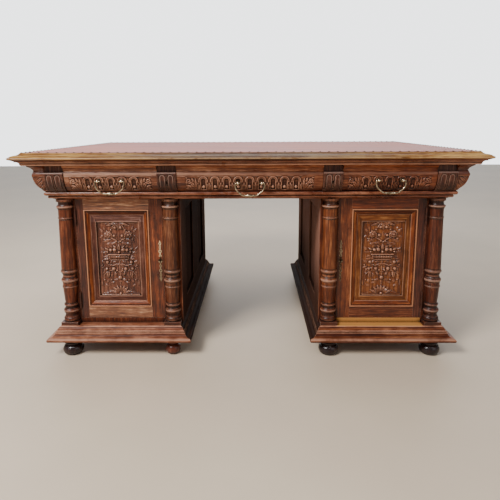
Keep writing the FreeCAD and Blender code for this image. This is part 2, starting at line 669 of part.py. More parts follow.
def handle_drop(place):
    return CENTRE_HANDLE_DROP if place == 0 else SIDE_HANDLE_DROP


def build_drawer(place, side_y, name):
    """One drawer: front, box, handle posts and bail. A back drawer is a front one turned round."""
    x0, x1 = drawer_span(-side_y * place)
    centre = (x0 + x1) / 2
    handle_z = CORNICE_Z - handle_drop(place)
    inner_y = FRIEZE_BACK_Y - RUNNING_GAP

    front = frieze_section(FRIEZE_BACK_INSET - RUNNING_GAP, DRAWER_GAP)
    front.translate(Vector(x0, -HALF_DEPTH, 0))
    front = front.extrude(Vector(x1 - x0, 0, 0))
    for side in (-1, 1):
        x = centre + side * HANDLE_SPREAD / 2
        keep(name + "_handle_posts", facing(handle_post(x, handle_z, front, inner_y), side_y))
        front = front.cut(cylinder(SHANK_RADIUS, Vector(x, -HALF_DEPTH, handle_z),
                                   Vector(x, inner_y + PAST, handle_z)))
    keep(name + "_drawer_front", facing(front, side_y))
    for piece in drawer_box(x0 + DRAWER_SIDE_SETBACK, x1 - DRAWER_SIDE_SETBACK, inner_y):
        keep(name + "_drawer_box", facing(piece, side_y))
    keep(name + "_bail", facing(bail(centre, handle_z), side_y))


def drawer_box(x0, x1, front_y):
    """Sides, back and bottom of a drawer."""
    low = FRIEZE_Z + BEARER_HEIGHT + RUNNING_GAP
    high = KICKER_Z - DRAWER_HEADROOM
    back_y = -DIVIDER_THICK / 2 - DRAWER_BACK_SPACE
    floor = low + DRAWER_BOTTOM_LIFT
    inner_x0, inner_x1 = x0 + DRAWER_SIDE_THICK, x1 - DRAWER_SIDE_THICK
    inner_back = back_y - DRAWER_BACK_THICK
    bottom_top = floor + DRAWER_BOTTOM_THICK
    return [
        box(x0, inner_x0, front_y, back_y, low, high),
        box(inner_x1, x1, front_y, back_y, low, high),
        box(inner_x0, inner_x1, inner_back, back_y, bottom_top, high - DRAWER_BACK_DROP),
        box(inner_x0, inner_x1, front_y, back_y, floor, bottom_top),
    ]


def build_runners():
    """Bearers under the drawer sides, with guides beside them."""
    bays = {-1: (-OUTER_PARTITION_X, -MIDDLE_PARTITION_X), 0: (-MIDDLE_PARTITION_X, MIDDLE_PARTITION_X),
            1: (MIDDLE_PARTITION_X, OUTER_PARTITION_X)}
    back_y = -DIVIDER_THICK / 2
    for place, walls in bays.items():
        for wall, end, way in zip(walls, drawer_span(place), (1, -1)):
            wall_x = wall + way * PARTITION_THICK / 2
            box_x = end + way * DRAWER_SIDE_SETBACK
            bearer = box(wall_x, box_x + way * BEARER_REACH, FRIEZE_BACK_Y, back_y,
                         FRIEZE_Z, FRIEZE_Z + BEARER_HEIGHT)
            guide = box(wall_x, box_x - way * RUNNING_GAP, FRIEZE_BACK_Y, back_y,
                        FRIEZE_Z + BEARER_HEIGHT, FRIEZE_Z + GUIDE_HEIGHT)
            for side_y in (-1, 1):
                keep("drawer_runners", mirrored(bearer, 1, side_y), mirrored(guide, 1, side_y))


def handle_post(x, z, front, inner_y):
    """Rosette seated on the front, post with an eye for the bail, shank through the front, and its nut."""
    bail_y = BAIL_INSET - HALF_DEPTH
    face_y = ROSETTE_INSET - HALF_DEPTH
    rosette = cylinder(ROSETTE_RADIUS, Vector(x, face_y + ROSETTE_CHAMFER, z), Vector(x, inner_y, z))
    rosette = rosette.fuse(Part.makeCone(ROSETTE_RADIUS - ROSETTE_CHAMFER, ROSETTE_RADIUS, ROSETTE_CHAMFER,
                                         Vector(x, face_y, z), Y_AXIS)).cut(front)
    stem = cylinder(POST_RADIUS, Vector(x, bail_y, z), Vector(x, face_y + ROSETTE_CHAMFER, z))
    head = Part.makeSphere(POST_HEAD_RADIUS, Vector(x, bail_y, z))
    shank = cylinder(SHANK_RADIUS, Vector(x, face_y, z), Vector(x, inner_y + SHANK_REACH, z))
    nut = cylinder(NUT_RADIUS, Vector(x, inner_y, z), Vector(x, inner_y + NUT_THICK, z))
    post = rosette.multiFuse([stem, head, shank, nut]).removeSplitter()
    eye_reach = Vector(2 * POST_HEAD_RADIUS, 0, 0)
    eye_centre = Vector(x, bail_y, z)
    return post.cut(cylinder(BAIL_PIN + PIN_GAP, eye_centre - eye_reach, eye_centre + eye_reach))


def filleted_path(points, radii):
    """Straight runs joined by tangent arcs: one radius for each inner point."""
    edges = []
    here = points[0]
    for corner, after, radius in zip(points[1:-1], points[2:], radii):
        into = (corner - here).normalize()
        out = (after - corner).normalize()
        half_turn = into.getAngle(out) / 2
        reach = radius * tan(half_turn)
        start, end = corner - into * reach, corner + out * reach
        inwards = (out - into).normalize()
        middle = corner + inwards * (radius / cos(half_turn) - radius)
        edges.append(Part.makeLine(here, start))
        edges.append(Part.Arc(start, middle, end).toShape())
        here = end
    edges.append(Part.makeLine(here, points[-1]))
    return Part.Wire(edges)


def bail(centre, z):
    """Swan-necked bail with pins into the posts and a turned knop in its middle."""
    post_x = HANDLE_SPREAD / 2
    elbow_x = post_x + BAIL_OUTREACH
    right = [
        Vector(post_x + POST_HEAD_RADIUS, 0, 0),
        Vector(elbow_x, 0, 0),
        Vector(elbow_x, 0, -BAIL_SHOULDER),
        Vector(BAIL_FLAT, 0, -BAIL_DROP),
    ]
    left = [Vector(-point.x, 0, point.z) for point in reversed(right)]
    radii = [BAIL_OUTREACH - POST_HEAD_RADIUS - BAIL_ELBOW_GAP, BAIL_SHOULDER_RADIUS, BAIL_SWEEP_RADIUS]
    path = filleted_path(right + left, radii + radii[::-1])
    ring = Part.makeCircle(BAIL_WIRE, right[0], X_AXIS)
    wire = path.makePipeShell([Part.Wire([ring])], True, False)
    pin_end = Vector(post_x - BAIL_PIN_REACH, 0, 0)
    pins = [cylinder(BAIL_PIN, pin_end * side, right[0] * side) for side in (-1, 1)]
    whole = wire.multiFuse([knop(Vector(0, 0, -BAIL_DROP))] + pins)
    whole.translate(Vector(centre, BAIL_INSET - HALF_DEPTH, z))
    return whole


def knop(middle):
    """A turned grip along X: a long belly between two beads."""
    half = KNOP_LENGTH / 2
    bead = half - KNOP_BEAD_LENGTH
    outline = Outline(0, -half)
    outline.to(KNOP_NECK_RADIUS, -half)
    outline.arc(KNOP_NECK_RADIUS, -bead, KNOP_NECK_RADIUS - KNOP_BEAD_RADIUS)
    outline.arc(KNOP_NECK_RADIUS, bead, KNOP_NECK_RADIUS - KNOP_RADIUS)
    outline.arc(KNOP_NECK_RADIUS, half, KNOP_NECK_RADIUS - KNOP_BEAD_RADIUS)
    outline.to(0, half)
    shape = outline.face().revolve(ORIGIN, Z_AXIS, 360)
    shape.rotate(ORIGIN, Y_AXIS, 90)
    shape.translate(middle)
    return shape


# ---------------------------------------------------------------- pedestals
def build_pedestals():
    """Posts, side frames, rails, boards and shelves of both pedestals."""
    for hand, side_x in (("left", -1), ("right", 1)):
        frame = hand + "_pedestal_frame"
        for side_y in (-1, 1):
            for piece in pedestal_half():
                keep(frame, mirrored(piece, side_x, side_y))
            for piece in pedestal_half_boards():
                keep("pedestal_boards", mirrored(piece, side_x, side_y))
        for piece in pedestal_long_rails():
            keep(frame, mirrored(piece, side_x, -1))
        keep("pedestal_boards", mirrored(middle_board(), side_x, -1))


def side_faces():
    """Outer and inner X of the two side frames of the right pedestal."""
    return ((SIDE_X, SIDE_X - SIDE_FRAME_THICK), (KNEE, KNEE + SIDE_FRAME_THICK))


def pedestal_half():
    """Front half of the right pedestal's frame: posts, stiles, and the rail and the stop for the door."""
    lock_post_x = KNEE + INNER_POST_WIDTH
    hinge_post = box(HINGE_POST_X, SIDE_X, FACE_Y, POST_BACK_Y, CARCASE_Z, FLOOR_Z)
    for z in hinge_heights():
        hinge_post = hinge_post.cut(leaf_box(HINGE_POST_X, HINGE_POST_X + LEAF_THICK, z))
    stop_y, stop_z = DOOR_BACK_Y + RUNNING_GAP, FLOOR_Z - DOOR_STOP_HEIGHT
    pieces = [
        hinge_post,
        box(KNEE, lock_post_x, FACE_Y, POST_BACK_Y, CARCASE_Z, FLOOR_Z),
        box(lock_post_x, HINGE_POST_X, FACE_Y, POST_BACK_Y, CARCASE_Z, CUPBOARD_Z),
        box(lock_post_x, HINGE_POST_X, stop_y, POST_BACK_Y, stop_z, FLOOR_Z),
    ]
    for outer, inner in side_faces():
        pieces.append(box(outer, inner, POST_BACK_Y, POST_BACK_Y + SIDE_STILE, CARCASE_Z, FLOOR_Z))
    return pieces


def pedestal_long_rails():
    """Top and bottom rails and the muntin of the right pedestal's two side frames."""
    end_y = POST_BACK_Y + SIDE_STILE
    low, high = side_panel_heights()
    pieces = []
    for outer, inner in side_faces():
        pieces.append(box(outer, inner, end_y, -end_y, high, FLOOR_Z))
        pieces.append(box(outer, inner, end_y, -end_y, CARCASE_Z, low))
        pieces.append(box(outer, inner, -SIDE_MUNTIN / 2, SIDE_MUNTIN / 2, low, high))
    return pieces


def side_panel_heights():
    return CARCASE_Z + SIDE_BOTTOM_RAIL, FLOOR_Z - SIDE_TOP_RAIL


def upright_rectangle(x, y0, y1, z0, z1):
    corners = [Vector(x, y0, z0), Vector(x, y1, z0), Vector(x, y1, z1), Vector(x, y0, z1)]
    return Part.makePolygon(corners + corners[:1])


def fielded_panel(outer, inner, y0, y1, z0, z1):
    """Side panel with a bevelled, raised field on its outer face."""
    way = 1 if inner > outer else -1
    face_x = outer + way * SIDE_PANEL_SETBACK
    bed_x = face_x + way * PANEL_RAISE
    back_x = face_x + way * SIDE_PANEL_THICK
    foot, edge = PANEL_MARGIN, PANEL_MARGIN + PANEL_BEVEL
    field = Part.makeLoft([upright_rectangle(bed_x, y0 + foot, y1 - foot, z0 + foot, z1 - foot),
                           upright_rectangle(face_x, y0 + edge, y1 - edge, z0 + edge, z1 - edge)], True, True)
    return box(bed_x, back_x, y0, y1, z0, z1).fuse(field).removeSplitter()


def inside_span():
    """Inner faces of the right pedestal's side frames."""
    return KNEE + SIDE_FRAME_THICK, SIDE_X - SIDE_FRAME_THICK


def pedestal_half_boards():
    """Side panels, bottom, shelf and shelf bearers of the front half of the right pedestal."""
    pieces = []
    for outer, inner in side_faces():
        pieces.append(fielded_panel(outer, inner, POST_BACK_Y + SIDE_STILE, -SIDE_MUNTIN / 2,
                                    *side_panel_heights()))
    x0, x1 = inside_span()
    back_y = -MIDDLE_BOARD_THICK / 2
    shelf_z = CUPBOARD_Z + SHELF_HEIGHT
    pieces.append(box(x0, x1, POST_BACK_Y, back_y, CUPBOARD_Z - BOTTOM_BOARD_THICK, CUPBOARD_Z))
    pieces.append(box(x0, x1, SHELF_FRONT_Y, back_y, shelf_z, shelf_z + SHELF_THICK))
    for x, way in ((x0, 1), (x1, -1)):
        pieces.append(box(x, x + way * BEARER_SECTION, SHELF_FRONT_Y, back_y,
                          shelf_z - BEARER_SECTION, shelf_z))
    return pieces


def middle_board():
    """Board across the right pedestal between its front and back cupboards."""
    half = MIDDLE_BOARD_THICK / 2
    return box(*inside_span(), -half, half, CUPBOARD_Z - BOTTOM_BOARD_THICK, FLOOR_Z)


# ---------------------------------------------------------------- doors
def hinge_heights():
    return (DOOR_BOTTOM_Z + HINGE_FROM_END, DOOR_TOP_Z - HINGE_FROM_END)


def opening_span():
    """Sight size of the door frame: the rectangle that holds the moulding and the panel."""
    return (DOOR_INNER_X + DOOR_LOCK_STILE, DOOR_OUTER_X - DOOR_HINGE_STILE,
            DOOR_BOTTOM_Z + DOOR_BOTTOM_RAIL, DOOR_TOP_Z - DOOR_TOP_RAIL)


def stand_up(shape, centre_x, centre_z):
    """Turns a piece made flat on XY, face up, to stand in the door with its face to the front."""
    shape.rotate(ORIGIN, X_AXIS, 90)
    shape.translate(Vector(centre_x, FACE_Y, centre_z))
    return shape


def door_moulding_section():
    """Bead and sloping hollow inside the door frame; height 0 is the door's face."""
    outline = Outline(0, -MOULDING_DEPTH)
    outline.to(BEAD_WIDTH + SLOPE_WIDTH, -MOULDING_DEPTH)
    outline.to(BEAD_WIDTH + SLOPE_WIDTH, -BAND_DEPTH)
    outline.arc(BEAD_WIDTH, BEAD_BASE, -SLOPE_HOLLOW)
    outline.arc(0, BEAD_BASE, -BEAD_SWELL)
    return outline.face()


def build_door(hand, side_x, side_name, side_y):
    """One door with its frame, panel, escutcheon and ironwork, and its hinges on the carcase."""
    name = side_name + "_" + hand + "_door"
    nodes = (
        (name + "_frame", door_frame()),
        (name + "_panel", door_panel()),
        (name + "_escutcheon", [escutcheon()]),
        (name + "_ironwork", door_leaves() + [door_lock()]),
        ("hinge_leaves", carcase_leaves()),
        ("hinge_pins", hinge_pins()),
    )
    for node, pieces in nodes:
        keep(node, *[mirrored(piece, side_x, side_y) for piece in pieces])


def door_frame():
    """Two stiles and two rails."""
    x0, x1, z0, z1 = opening_span()
    key_x, key_z = door_keyhole()
    lock_stile = box(DOOR_INNER_X, x0, FACE_Y, DOOR_BACK_Y, DOOR_BOTTOM_Z, DOOR_TOP_Z)
    lock_stile = lock_stile.cut(keyhole_cutter(key_x, FACE_Y - PAST, DOOR_BACK_Y + PAST, key_z))
    hinge_stile = box(x1, DOOR_OUTER_X, FACE_Y, DOOR_BACK_Y, DOOR_BOTTOM_Z, DOOR_TOP_Z)
    for z in hinge_heights():
        hinge_stile = hinge_stile.cut(leaf_box(DOOR_OUTER_X - LEAF_THICK, DOOR_OUTER_X, z))
    bottom_rail = box(x0, x1, FACE_Y, DOOR_BACK_Y, DOOR_BOTTOM_Z, z0)
    top_rail = box(x0, x1, FACE_Y, DOOR_BACK_Y, z1, DOOR_TOP_Z)
    return [lock_stile, hinge_stile, bottom_rail, top_rail]


def door_panel():
    """Mitred moulding and the panel behind it, with a sunk field for the carving."""
    x0, x1, z0, z1 = opening_span()
    half_x, half_z = (x1 - x0) / 2, (z1 - z0) / 2
    rim = BEAD_WIDTH + SLOPE_WIDTH
    lengths = mitred_frame(door_moulding_section(), half_x, half_z, rim)
    tongue = box(-half_x, half_x, -half_z, half_z, -MOULDING_DEPTH - PANEL_TONGUE, -MOULDING_DEPTH)
    raised = box(rim - half_x, half_x - rim, rim - half_z, half_z - rim, -MOULDING_DEPTH, -BAND_DEPTH)
    side = rim + BAND_WIDTH
    sunk = box(side - half_x, half_x - side, side - half_z, half_z - rim - BAND_TOP, -FIELD_DEPTH, 0)
    panel = tongue.fuse(raised).removeSplitter().cut(sunk)
    return [stand_up(piece, (x0 + x1) / 2, (z0 + z1) / 2) for piece in lengths + [panel]]


def door_keyhole():
    return DOOR_INNER_X + ESCUTCHEON_SETBACK, DOOR_BOTTOM_Z + DOOR_KEYHOLE_HEIGHT


def escutcheon():
    """Tall pierced keyhole plate: rings on a slim stem, pointed at both ends."""
    x, z = door_keyhole()
    face, back = FACE_Y - ESCUTCHEON_THICK, FACE_Y
    half = ESCUTCHEON_LENGTH / 2
    reach = half - ESCUTCHEON_TIP
    plate = box(x - ESCUTCHEON_STEM, x + ESCUTCHEON_STEM, face, back, z - reach, z + reach)
    plate = plate.fuse(cylinder(ESCUTCHEON_BOSS, Vector(x, face, z), Vector(x, back, z)))
    for way in (-1, 1):
        for share, radius in ESCUTCHEON_RINGS:
            middle = z + way * share * half
            plate = plate.fuse(cylinder(radius, Vector(x, face, middle), Vector(x, back, middle)))
            plate = plate.cut(cylinder(radius * ESCUTCHEON_RING_HOLE, Vector(x, face, middle),
                                       Vector(x, back, middle)))
        corners = [Vector(x - ESCUTCHEON_TIP_WIDTH / 2, face, z + way * reach),
                   Vector(x + ESCUTCHEON_TIP_WIDTH / 2, face, z + way * reach),
                   Vector(x, face, z + way * half)]
        tip = Part.Face(Part.makePolygon(corners + corners[:1]))
        plate = plate.fuse(tip.extrude(Vector(0, ESCUTCHEON_THICK, 0)))
    return plate.cut(keyhole_cutter(x, face, back, z)).removeSplitter()


def leaf_box(x0, x1, z):
    """A hinge leaf, or the recess for it."""
    return box(x0, x1, FACE_Y, FACE_Y + LEAF_WIDTH, z - HINGE_LENGTH / 2, z + HINGE_LENGTH / 2)


def on_hinge_line(radius, low, high):
    return cylinder(radius, Vector(HINGE_X, HINGE_Y, low), Vector(HINGE_X, HINGE_Y, high))


def door_leaves():
    """Hinge leaves on the door, each with the middle knuckle."""
    pieces = []
    edge = DOOR_OUTER_X - LEAF_THICK
    half = HALF_KNUCKLE - KNUCKLE_GAP
    for z in hinge_heights():
        leaf = leaf_box(edge, DOOR_OUTER_X, z)
        bridge = box(edge, DOOR_OUTER_X, HINGE_Y, FACE_Y, z - half, z + half)
        leaf = leaf.multiFuse([bridge, on_hinge_line(HINGE_RADIUS, z - half, z + half)]).removeSplitter()
        pieces.append(leaf.cut(on_hinge_line(HINGE_PIN_RADIUS + PIN_GAP, z - HINGE_LENGTH, z + HINGE_LENGTH)))
    return pieces


def carcase_leaves():
    """Hinge leaves on the post, each with the two end knuckles."""
    pieces = []
    edge = HINGE_POST_X + LEAF_THICK
    near, far = HALF_KNUCKLE, HINGE_LENGTH / 2
    for z in hinge_heights():
        parts = []
        for low, high in ((z - far, z - near), (z + near, z + far)):
            parts.append(box(HINGE_POST_X, edge, HINGE_Y, FACE_Y, low, high))
            parts.append(on_hinge_line(HINGE_RADIUS, low, high))
        leaf = leaf_box(HINGE_POST_X, edge, z).multiFuse(parts).removeSplitter()
        pieces.append(leaf.cut(on_hinge_line(HINGE_PIN_RADIUS, z - HINGE_LENGTH, z + HINGE_LENGTH)))
    return pieces


def hinge_pins():
    """Pins with a small round head at each end."""
    pieces = []
    far = HINGE_LENGTH / 2
    for z in hinge_heights():
        pin = on_hinge_line(HINGE_PIN_RADIUS, z - far, z + far)
        heads = []
        for way in (-1, 1):
            end = z + way * far
            heads.append(on_hinge_line(PIN_HEAD_RADIUS, end, end + way * PIN_HEAD_HEIGHT))
        pieces.append(pin.multiFuse(heads))
    return pieces


def door_lock():
    """Lock case behind the door's free stile, with its bolt drawn back."""
    key_x, key_z = door_keyhole()
    lock_x = DOOR_INNER_X + DOOR_LOCK_SETBACK
    case = box(lock_x, lock_x + DOOR_LOCK_WIDTH, DOOR_BACK_Y, DOOR_BACK_Y + DOOR_LOCK_THICK,
               key_z - DOOR_LOCK_HEIGHT / 2, key_z + DOOR_LOCK_HEIGHT / 2)
    bolt_y = DOOR_BACK_Y + (DOOR_LOCK_THICK - BOLT_THICK) / 2
    bolt = box(lock_x - BOLT_REACH, lock_x, bolt_y, bolt_y + BOLT_THICK, key_z - BOLT_HEIGHT / 2,
               key_z + BOLT_HEIGHT / 2)
    lock = case.fuse(bolt).removeSplitter()
    return lock.cut(keyhole_cutter(key_x, DOOR_BACK_Y - PAST, DOOR_BACK_Y + DOOR_LOCK_THICK / 2, key_z))


# ---------------------------------------------------------------- columns, plinths and feet
def build_columns():
    """Columns engaged at the corners and beside the kneehole, each on a square block."""
    body = box(KNEE, SIDE_X, FACE_Y, -FACE_Y, CARCASE_Z, FLOOR_Z)
    half = BLOCK_SIZE / 2
    for x in (SIDE_X, KNEE + COLUMN_SETBACK):
        column = turned(COLUMN_TURNING, BLOCK_Z, WAIST_Z, x, FACE_Y)
        block = box(x - half, x + half, FACE_Y - half, FACE_Y + half, CARCASE_Z, BLOCK_Z)
        keep("columns", *four_corners(column.cut(body)))
        keep("column_blocks", *four_corners(block.cut(body)))


def build_plinths():
    """A mitred moulded frame under each pedestal."""
    knee_x, outer_x = KNEE - PLINTH_KNEE_PROJECTION, HALF_WIDTH - PLINTH_INSET
    half_x, half_y = (outer_x - knee_x) / 2, HALF_DEPTH - PLINTH_INSET
    for length in mitred_frame(plinth_section(), half_x, half_y, PLINTH_WIDTH):
        length.translate(Vector((knee_x + outer_x) / 2, 0, 0))
        keep("plinths", length, length.mirror(ORIGIN, X_AXIS))


def build_feet():
    """Four feet under each pedestal; the front left one beside the kneehole is a slimmer replacement."""
    y = FOOT_INSET - HALF_DEPTH
    outer_x, inner_x = HALF_WIDTH - FOOT_OUTER_INSET, KNEE + FOOT_KNEE_SETBACK
    slim = turned(FOOT_TURNING, 0, FOOT_HEIGHT, inner_x, y, SLIMMER_FOOT)
    usual = turned(FOOT_TURNING, 0, FOOT_HEIGHT, inner_x, y)
    outer = turned(FOOT_TURNING, 0, FOOT_HEIGHT, outer_x, y)
    keep("bun_feet", *four_corners(outer))
    keep("bun_feet", mirrored(slim, -1, -1), usual, mirrored(usual, -1, 1), mirrored(usual, 1, 1))


# ---------------------------------------------------------------- the whole desk
def build():
    build_top()
    build_frieze_ends()
    build_brackets()
    build_frieze_frame()
    build_waist()
    build_runners()
    build_pedestals()
    build_columns()
    build_plinths()
    build_feet()
    for side_name, side_y in (("front", -1), ("back", 1)):
        for hand, place in (("left", -1), ("centre", 0), ("right", 1)):
            build_drawer(place, side_y, side_name + "_" + hand)
        for hand, side_x in (("left", -1), ("right", 1)):
            build_door(hand, side_x, side_name, side_y)


def export():
    os.makedirs("parts", exist_ok=True)
    for name, solids in sorted(NODES.items()):
        for number, solid in enumerate(solids):
            if not solid.isValid() or solid.Volume <= 0:
                raise ValueError("%s: solid %d is not sound" % (name, number))
        shape = solids[0] if len(solids) == 1 else Part.makeCompound(solids)
        shape.exportStep(os.path.join("parts", name + ".step"))
        print("%-34s %3d solids  %9.1f cm3" % (name, len(solids), sum(s.Volume for s in solids) / 1000))
    print(len(NODES), "nodes")


build()
export()
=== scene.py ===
"""Looks of a partners desk: carved and stained oak, a leather top and old brass, on the desk's fixed frame.

Metres, in the frame's own axes: X runs to the right, Y to the back, Z up, with the origin on the floor in
the middle of the desk. An inset is a distance inwards from the edge of the top, the same on all four sides.
"""
import json
import math

import bmesh
import bpy
import numpy as np
from bpy.props import FloatProperty, FloatVectorProperty, IntProperty, PointerProperty
from mathutils import Matrix, Vector

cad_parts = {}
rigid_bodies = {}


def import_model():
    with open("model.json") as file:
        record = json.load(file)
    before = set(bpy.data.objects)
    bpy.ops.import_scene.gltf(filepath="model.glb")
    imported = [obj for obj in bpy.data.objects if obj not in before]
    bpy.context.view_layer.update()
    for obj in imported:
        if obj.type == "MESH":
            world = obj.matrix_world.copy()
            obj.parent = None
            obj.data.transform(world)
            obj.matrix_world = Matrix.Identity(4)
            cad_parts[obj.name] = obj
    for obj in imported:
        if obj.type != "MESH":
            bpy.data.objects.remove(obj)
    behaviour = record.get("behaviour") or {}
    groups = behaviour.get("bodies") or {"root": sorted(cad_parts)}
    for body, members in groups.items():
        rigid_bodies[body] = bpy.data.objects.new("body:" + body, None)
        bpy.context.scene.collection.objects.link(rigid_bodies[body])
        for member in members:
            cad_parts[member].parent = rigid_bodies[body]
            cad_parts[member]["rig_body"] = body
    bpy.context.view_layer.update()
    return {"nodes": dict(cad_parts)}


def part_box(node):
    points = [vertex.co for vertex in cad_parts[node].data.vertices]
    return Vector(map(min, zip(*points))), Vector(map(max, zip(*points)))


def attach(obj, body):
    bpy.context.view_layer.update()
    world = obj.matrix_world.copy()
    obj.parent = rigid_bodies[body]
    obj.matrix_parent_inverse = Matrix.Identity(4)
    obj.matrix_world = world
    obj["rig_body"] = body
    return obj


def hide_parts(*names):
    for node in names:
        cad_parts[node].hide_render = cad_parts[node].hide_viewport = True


bl_info = {
    "name": "Partners desk finish",
    "version": (1, 0, 0),
    "blender": (4, 5, 0),
    "location": "View3D > Sidebar > Desk",
    "description": "Carving, leather and finishes of a partners desk",
    "category": "Object",
}

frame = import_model()

MM = 0.001
SIDES = {"front": -1.0, "back": 1.0}    # which way each long side faces along Y
HANDS = {"left": -1.0, "right": 1.0}    # on which side of the middle each hand is along X
DRAWERS = ("left", "centre", "right")

# ------------------------------------------------ places read from the frame
HALF_WIDTH, HALF_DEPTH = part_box("top_slab")[1].xy
LEATHER_X, LEATHER_Y, LEATHER_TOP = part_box("leather_top")[1]
NOSE_Z = LEATHER_TOP - 19 * MM            # tip of the top's moulded edge
CORNICE_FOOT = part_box("upper_cornice")[0].z
FRIEZE_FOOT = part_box("frieze_end_boards")[0].z
DRAWER_LOW, DRAWER_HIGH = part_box("front_centre_drawer_front")
DRAWER_BACK_INSET = HALF_DEPTH + DRAWER_HIGH.y
PANEL_LOW, PANEL_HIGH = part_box("front_right_door_panel")
DOOR_LOW, DOOR_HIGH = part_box("front_right_door_frame")
DOOR_CENTRE_X = (PANEL_LOW.x + PANEL_HIGH.x) / 2
DOOR_CENTRE_Z = (PANEL_LOW.z + PANEL_HIGH.z) / 2
PANEL_HALF_X = PANEL_HIGH.x - DOOR_CENTRE_X
PANEL_HALF_Z = PANEL_HIGH.z - DOOR_CENTRE_Z
DOOR_FACE = -DOOR_LOW.y                   # distance of the doors' faces from the middle of the desk
LEDGE_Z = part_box("column_blocks")[0].z    # top of the plinths
PEDESTAL_LOW, PEDESTAL_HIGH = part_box("right_pedestal_frame")
PLINTH_TIP_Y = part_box("plinths")[1].y
PLINTH_KNEE_X = PEDESTAL_LOW.x - 37.5 * MM    # tip of the plinth in the kneehole
COLUMN_FOOT, COLUMN_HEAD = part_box("columns")[0].z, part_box("columns")[1].z
COLUMN_HEIGHT = (COLUMN_HEAD - COLUMN_FOOT) / MM
FOOT_RAIL_TOP = LEDGE_Z + 70 * MM         # level rails in the sides of the pedestals
HEAD_RAIL_FOOT = PEDESTAL_HIGH.z - 72 * MM
RAIL_HALF = 290 * MM                      # half the length of both
LATER_FOOT_X = -297 * MM                  # middle of the foot that was put in later
FOOT_REACH = 80 * MM                      # from a foot's middle to well clear of it
BAIL_INSET = 52.5 * MM                    # bails hang outside this, and the rosettes stand inside it

# ------------------------------------------------ section of the frieze, from the top down
CYMA_INSET = 44 * MM
CYMA_LIP = 4 * MM
CYMA_HOLLOW = 2.5 * MM
NECK_INSET = 60.5 * MM
NECK_DROP = 20 * MM
NECK_FOOT_DROP = 22 * MM
BULGE_INSET = 55.5 * MM
BULGE_DROP = 37 * MM
BULGE_SWELL = 1.2 * MM
SHOULDER_INSET = 60 * MM
SHOULDER_DROP = 59 * MM
SHOULDER_SWELL = 0.8 * MM
FOOT_INSET = 87 * MM
BELLY_SWELL = 4 * MM
BOARD_BACK_INSET = 105.5 * MM

# ------------------------------------------------ brackets of the frieze
BRACKET_CENTRES = (DRAWER_HIGH.x + 34.7 * MM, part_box("front_right_drawer_front")[1].x + 35.2 * MM)
BRACKET_FACE_TOP = CORNICE_FOOT - 26.5 * MM
TONGUE_OFFSET = 14.5 * MM         # middle of a bracket to the middle of each of its two tongues
TONGUE_HALF = 9.5 * MM
TONGUE_HEAD = CORNICE_FOOT - 44.5 * MM    # centre of a tongue's round top
RETURN_START_X = 725 * MM         # outer edge of a corner bracket
RETURN_LENGTH = 55 * MM           # about as far as from there to the mitre

# ------------------------------------------------ carved band of the frieze
BAND_LOW = CORNICE_FOOT - 94 * MM
BAND_HIGH = CORNICE_FOOT - 38 * MM
BAND_RAIL = 3 * MM                # plain edge above and below the carving
ARCH_FOOT = CORNICE_FOOT - 89 * MM
ARCH_HEAD = CORNICE_FOOT - 57 * MM    # centre of an arch's round top
ARCH_REACH = 17 * MM              # that centre to the outside of the arch
ARCH_SPRING = ARCH_HEAD - 5 * MM  # where the arches start, above their reeds
CORNER_SINK = 0.8 * MM            # the corners above the arches below the ground
ARCH_RISE = 1.2 * MM              # the hood above the frieze's face, and the arch below it
NICHE_RIM_HALF = 1.5 * MM
HOOD_HALF = 2.2 * MM
REED_HALF = 2.2 * MM
REED_DROP = 0.2 * MM              # top of a reed below the frieze's face
REEDS = ((0.0, 9 * MM), (5.2 * MM, 15 * MM))    # offset from the middle of three, and its end below ARCH_HEAD
PEARL_Z = CORNICE_FOOT - 81 * MM
PEARL_RADIUS = 5.6 * MM
PEARL_BED = 3.0 * MM
PEARL_RISE = 4.0 * MM
DRAWER_LEAF_END = {"left": 148 * MM, "centre": 229 * MM, "right": 148 * MM}    # from the drawer's middle
SPRAY_RISE = 4.2 * MM
SPRAY_TOP = 4.0 * MM              # where the highest of a spray is cut flat
SPRAY_FADE = 4 * MM               # from the border, how far in the spray has its full height
GROUND_FADE = 9 * MM              # and the ground its full depth
CORNER_LEAF_RISE = 3.4 * MM

# ------------------------------------------------ door panel
BEAD_WIDTH = 6 * MM
RIM_WIDTH = 22 * MM               # bead and slope together
RAIL_GRAIN = 30 * MM              # beyond the rim, how far the head and foot of the band run across
FIELD_HALF_X = 80.1 * MM
FIELD_HALF_Z = 144.7 * MM
FIELD_DROP = 4 * MM               # the field's middle below the door panel's
FIELD_CENTRE_Z = DOOR_CENTRE_Z - FIELD_DROP
FIELD_GROUND = DOOR_FACE - 15 * MM    # distance of the field's ground from the middle of the desk
FIELD_LAP = 0.3 * MM              # the carving's skin above that ground, and its foot below
FIELD_EDGE = 3 * MM               # over which the carving sinks to nothing along its edges
FIELD_PITCH = 0.86                # pitch of the field's mesh, against that of a drawer front


# ================================================ settings
def length(name, description, default, **limits):
    return FloatProperty(name=name, description=description, default=default, unit="LENGTH", **limits)


def number_of(name, description, default):
    return IntProperty(name=name, description=description, default=default, min=1)


def angle(name, description, degrees):
    return FloatProperty(name=name, description=description, default=math.radians(degrees), subtype="ANGLE")


def shade(name, description, default):
    return FloatVectorProperty(name=name, description=description, default=default, subtype="COLOR")


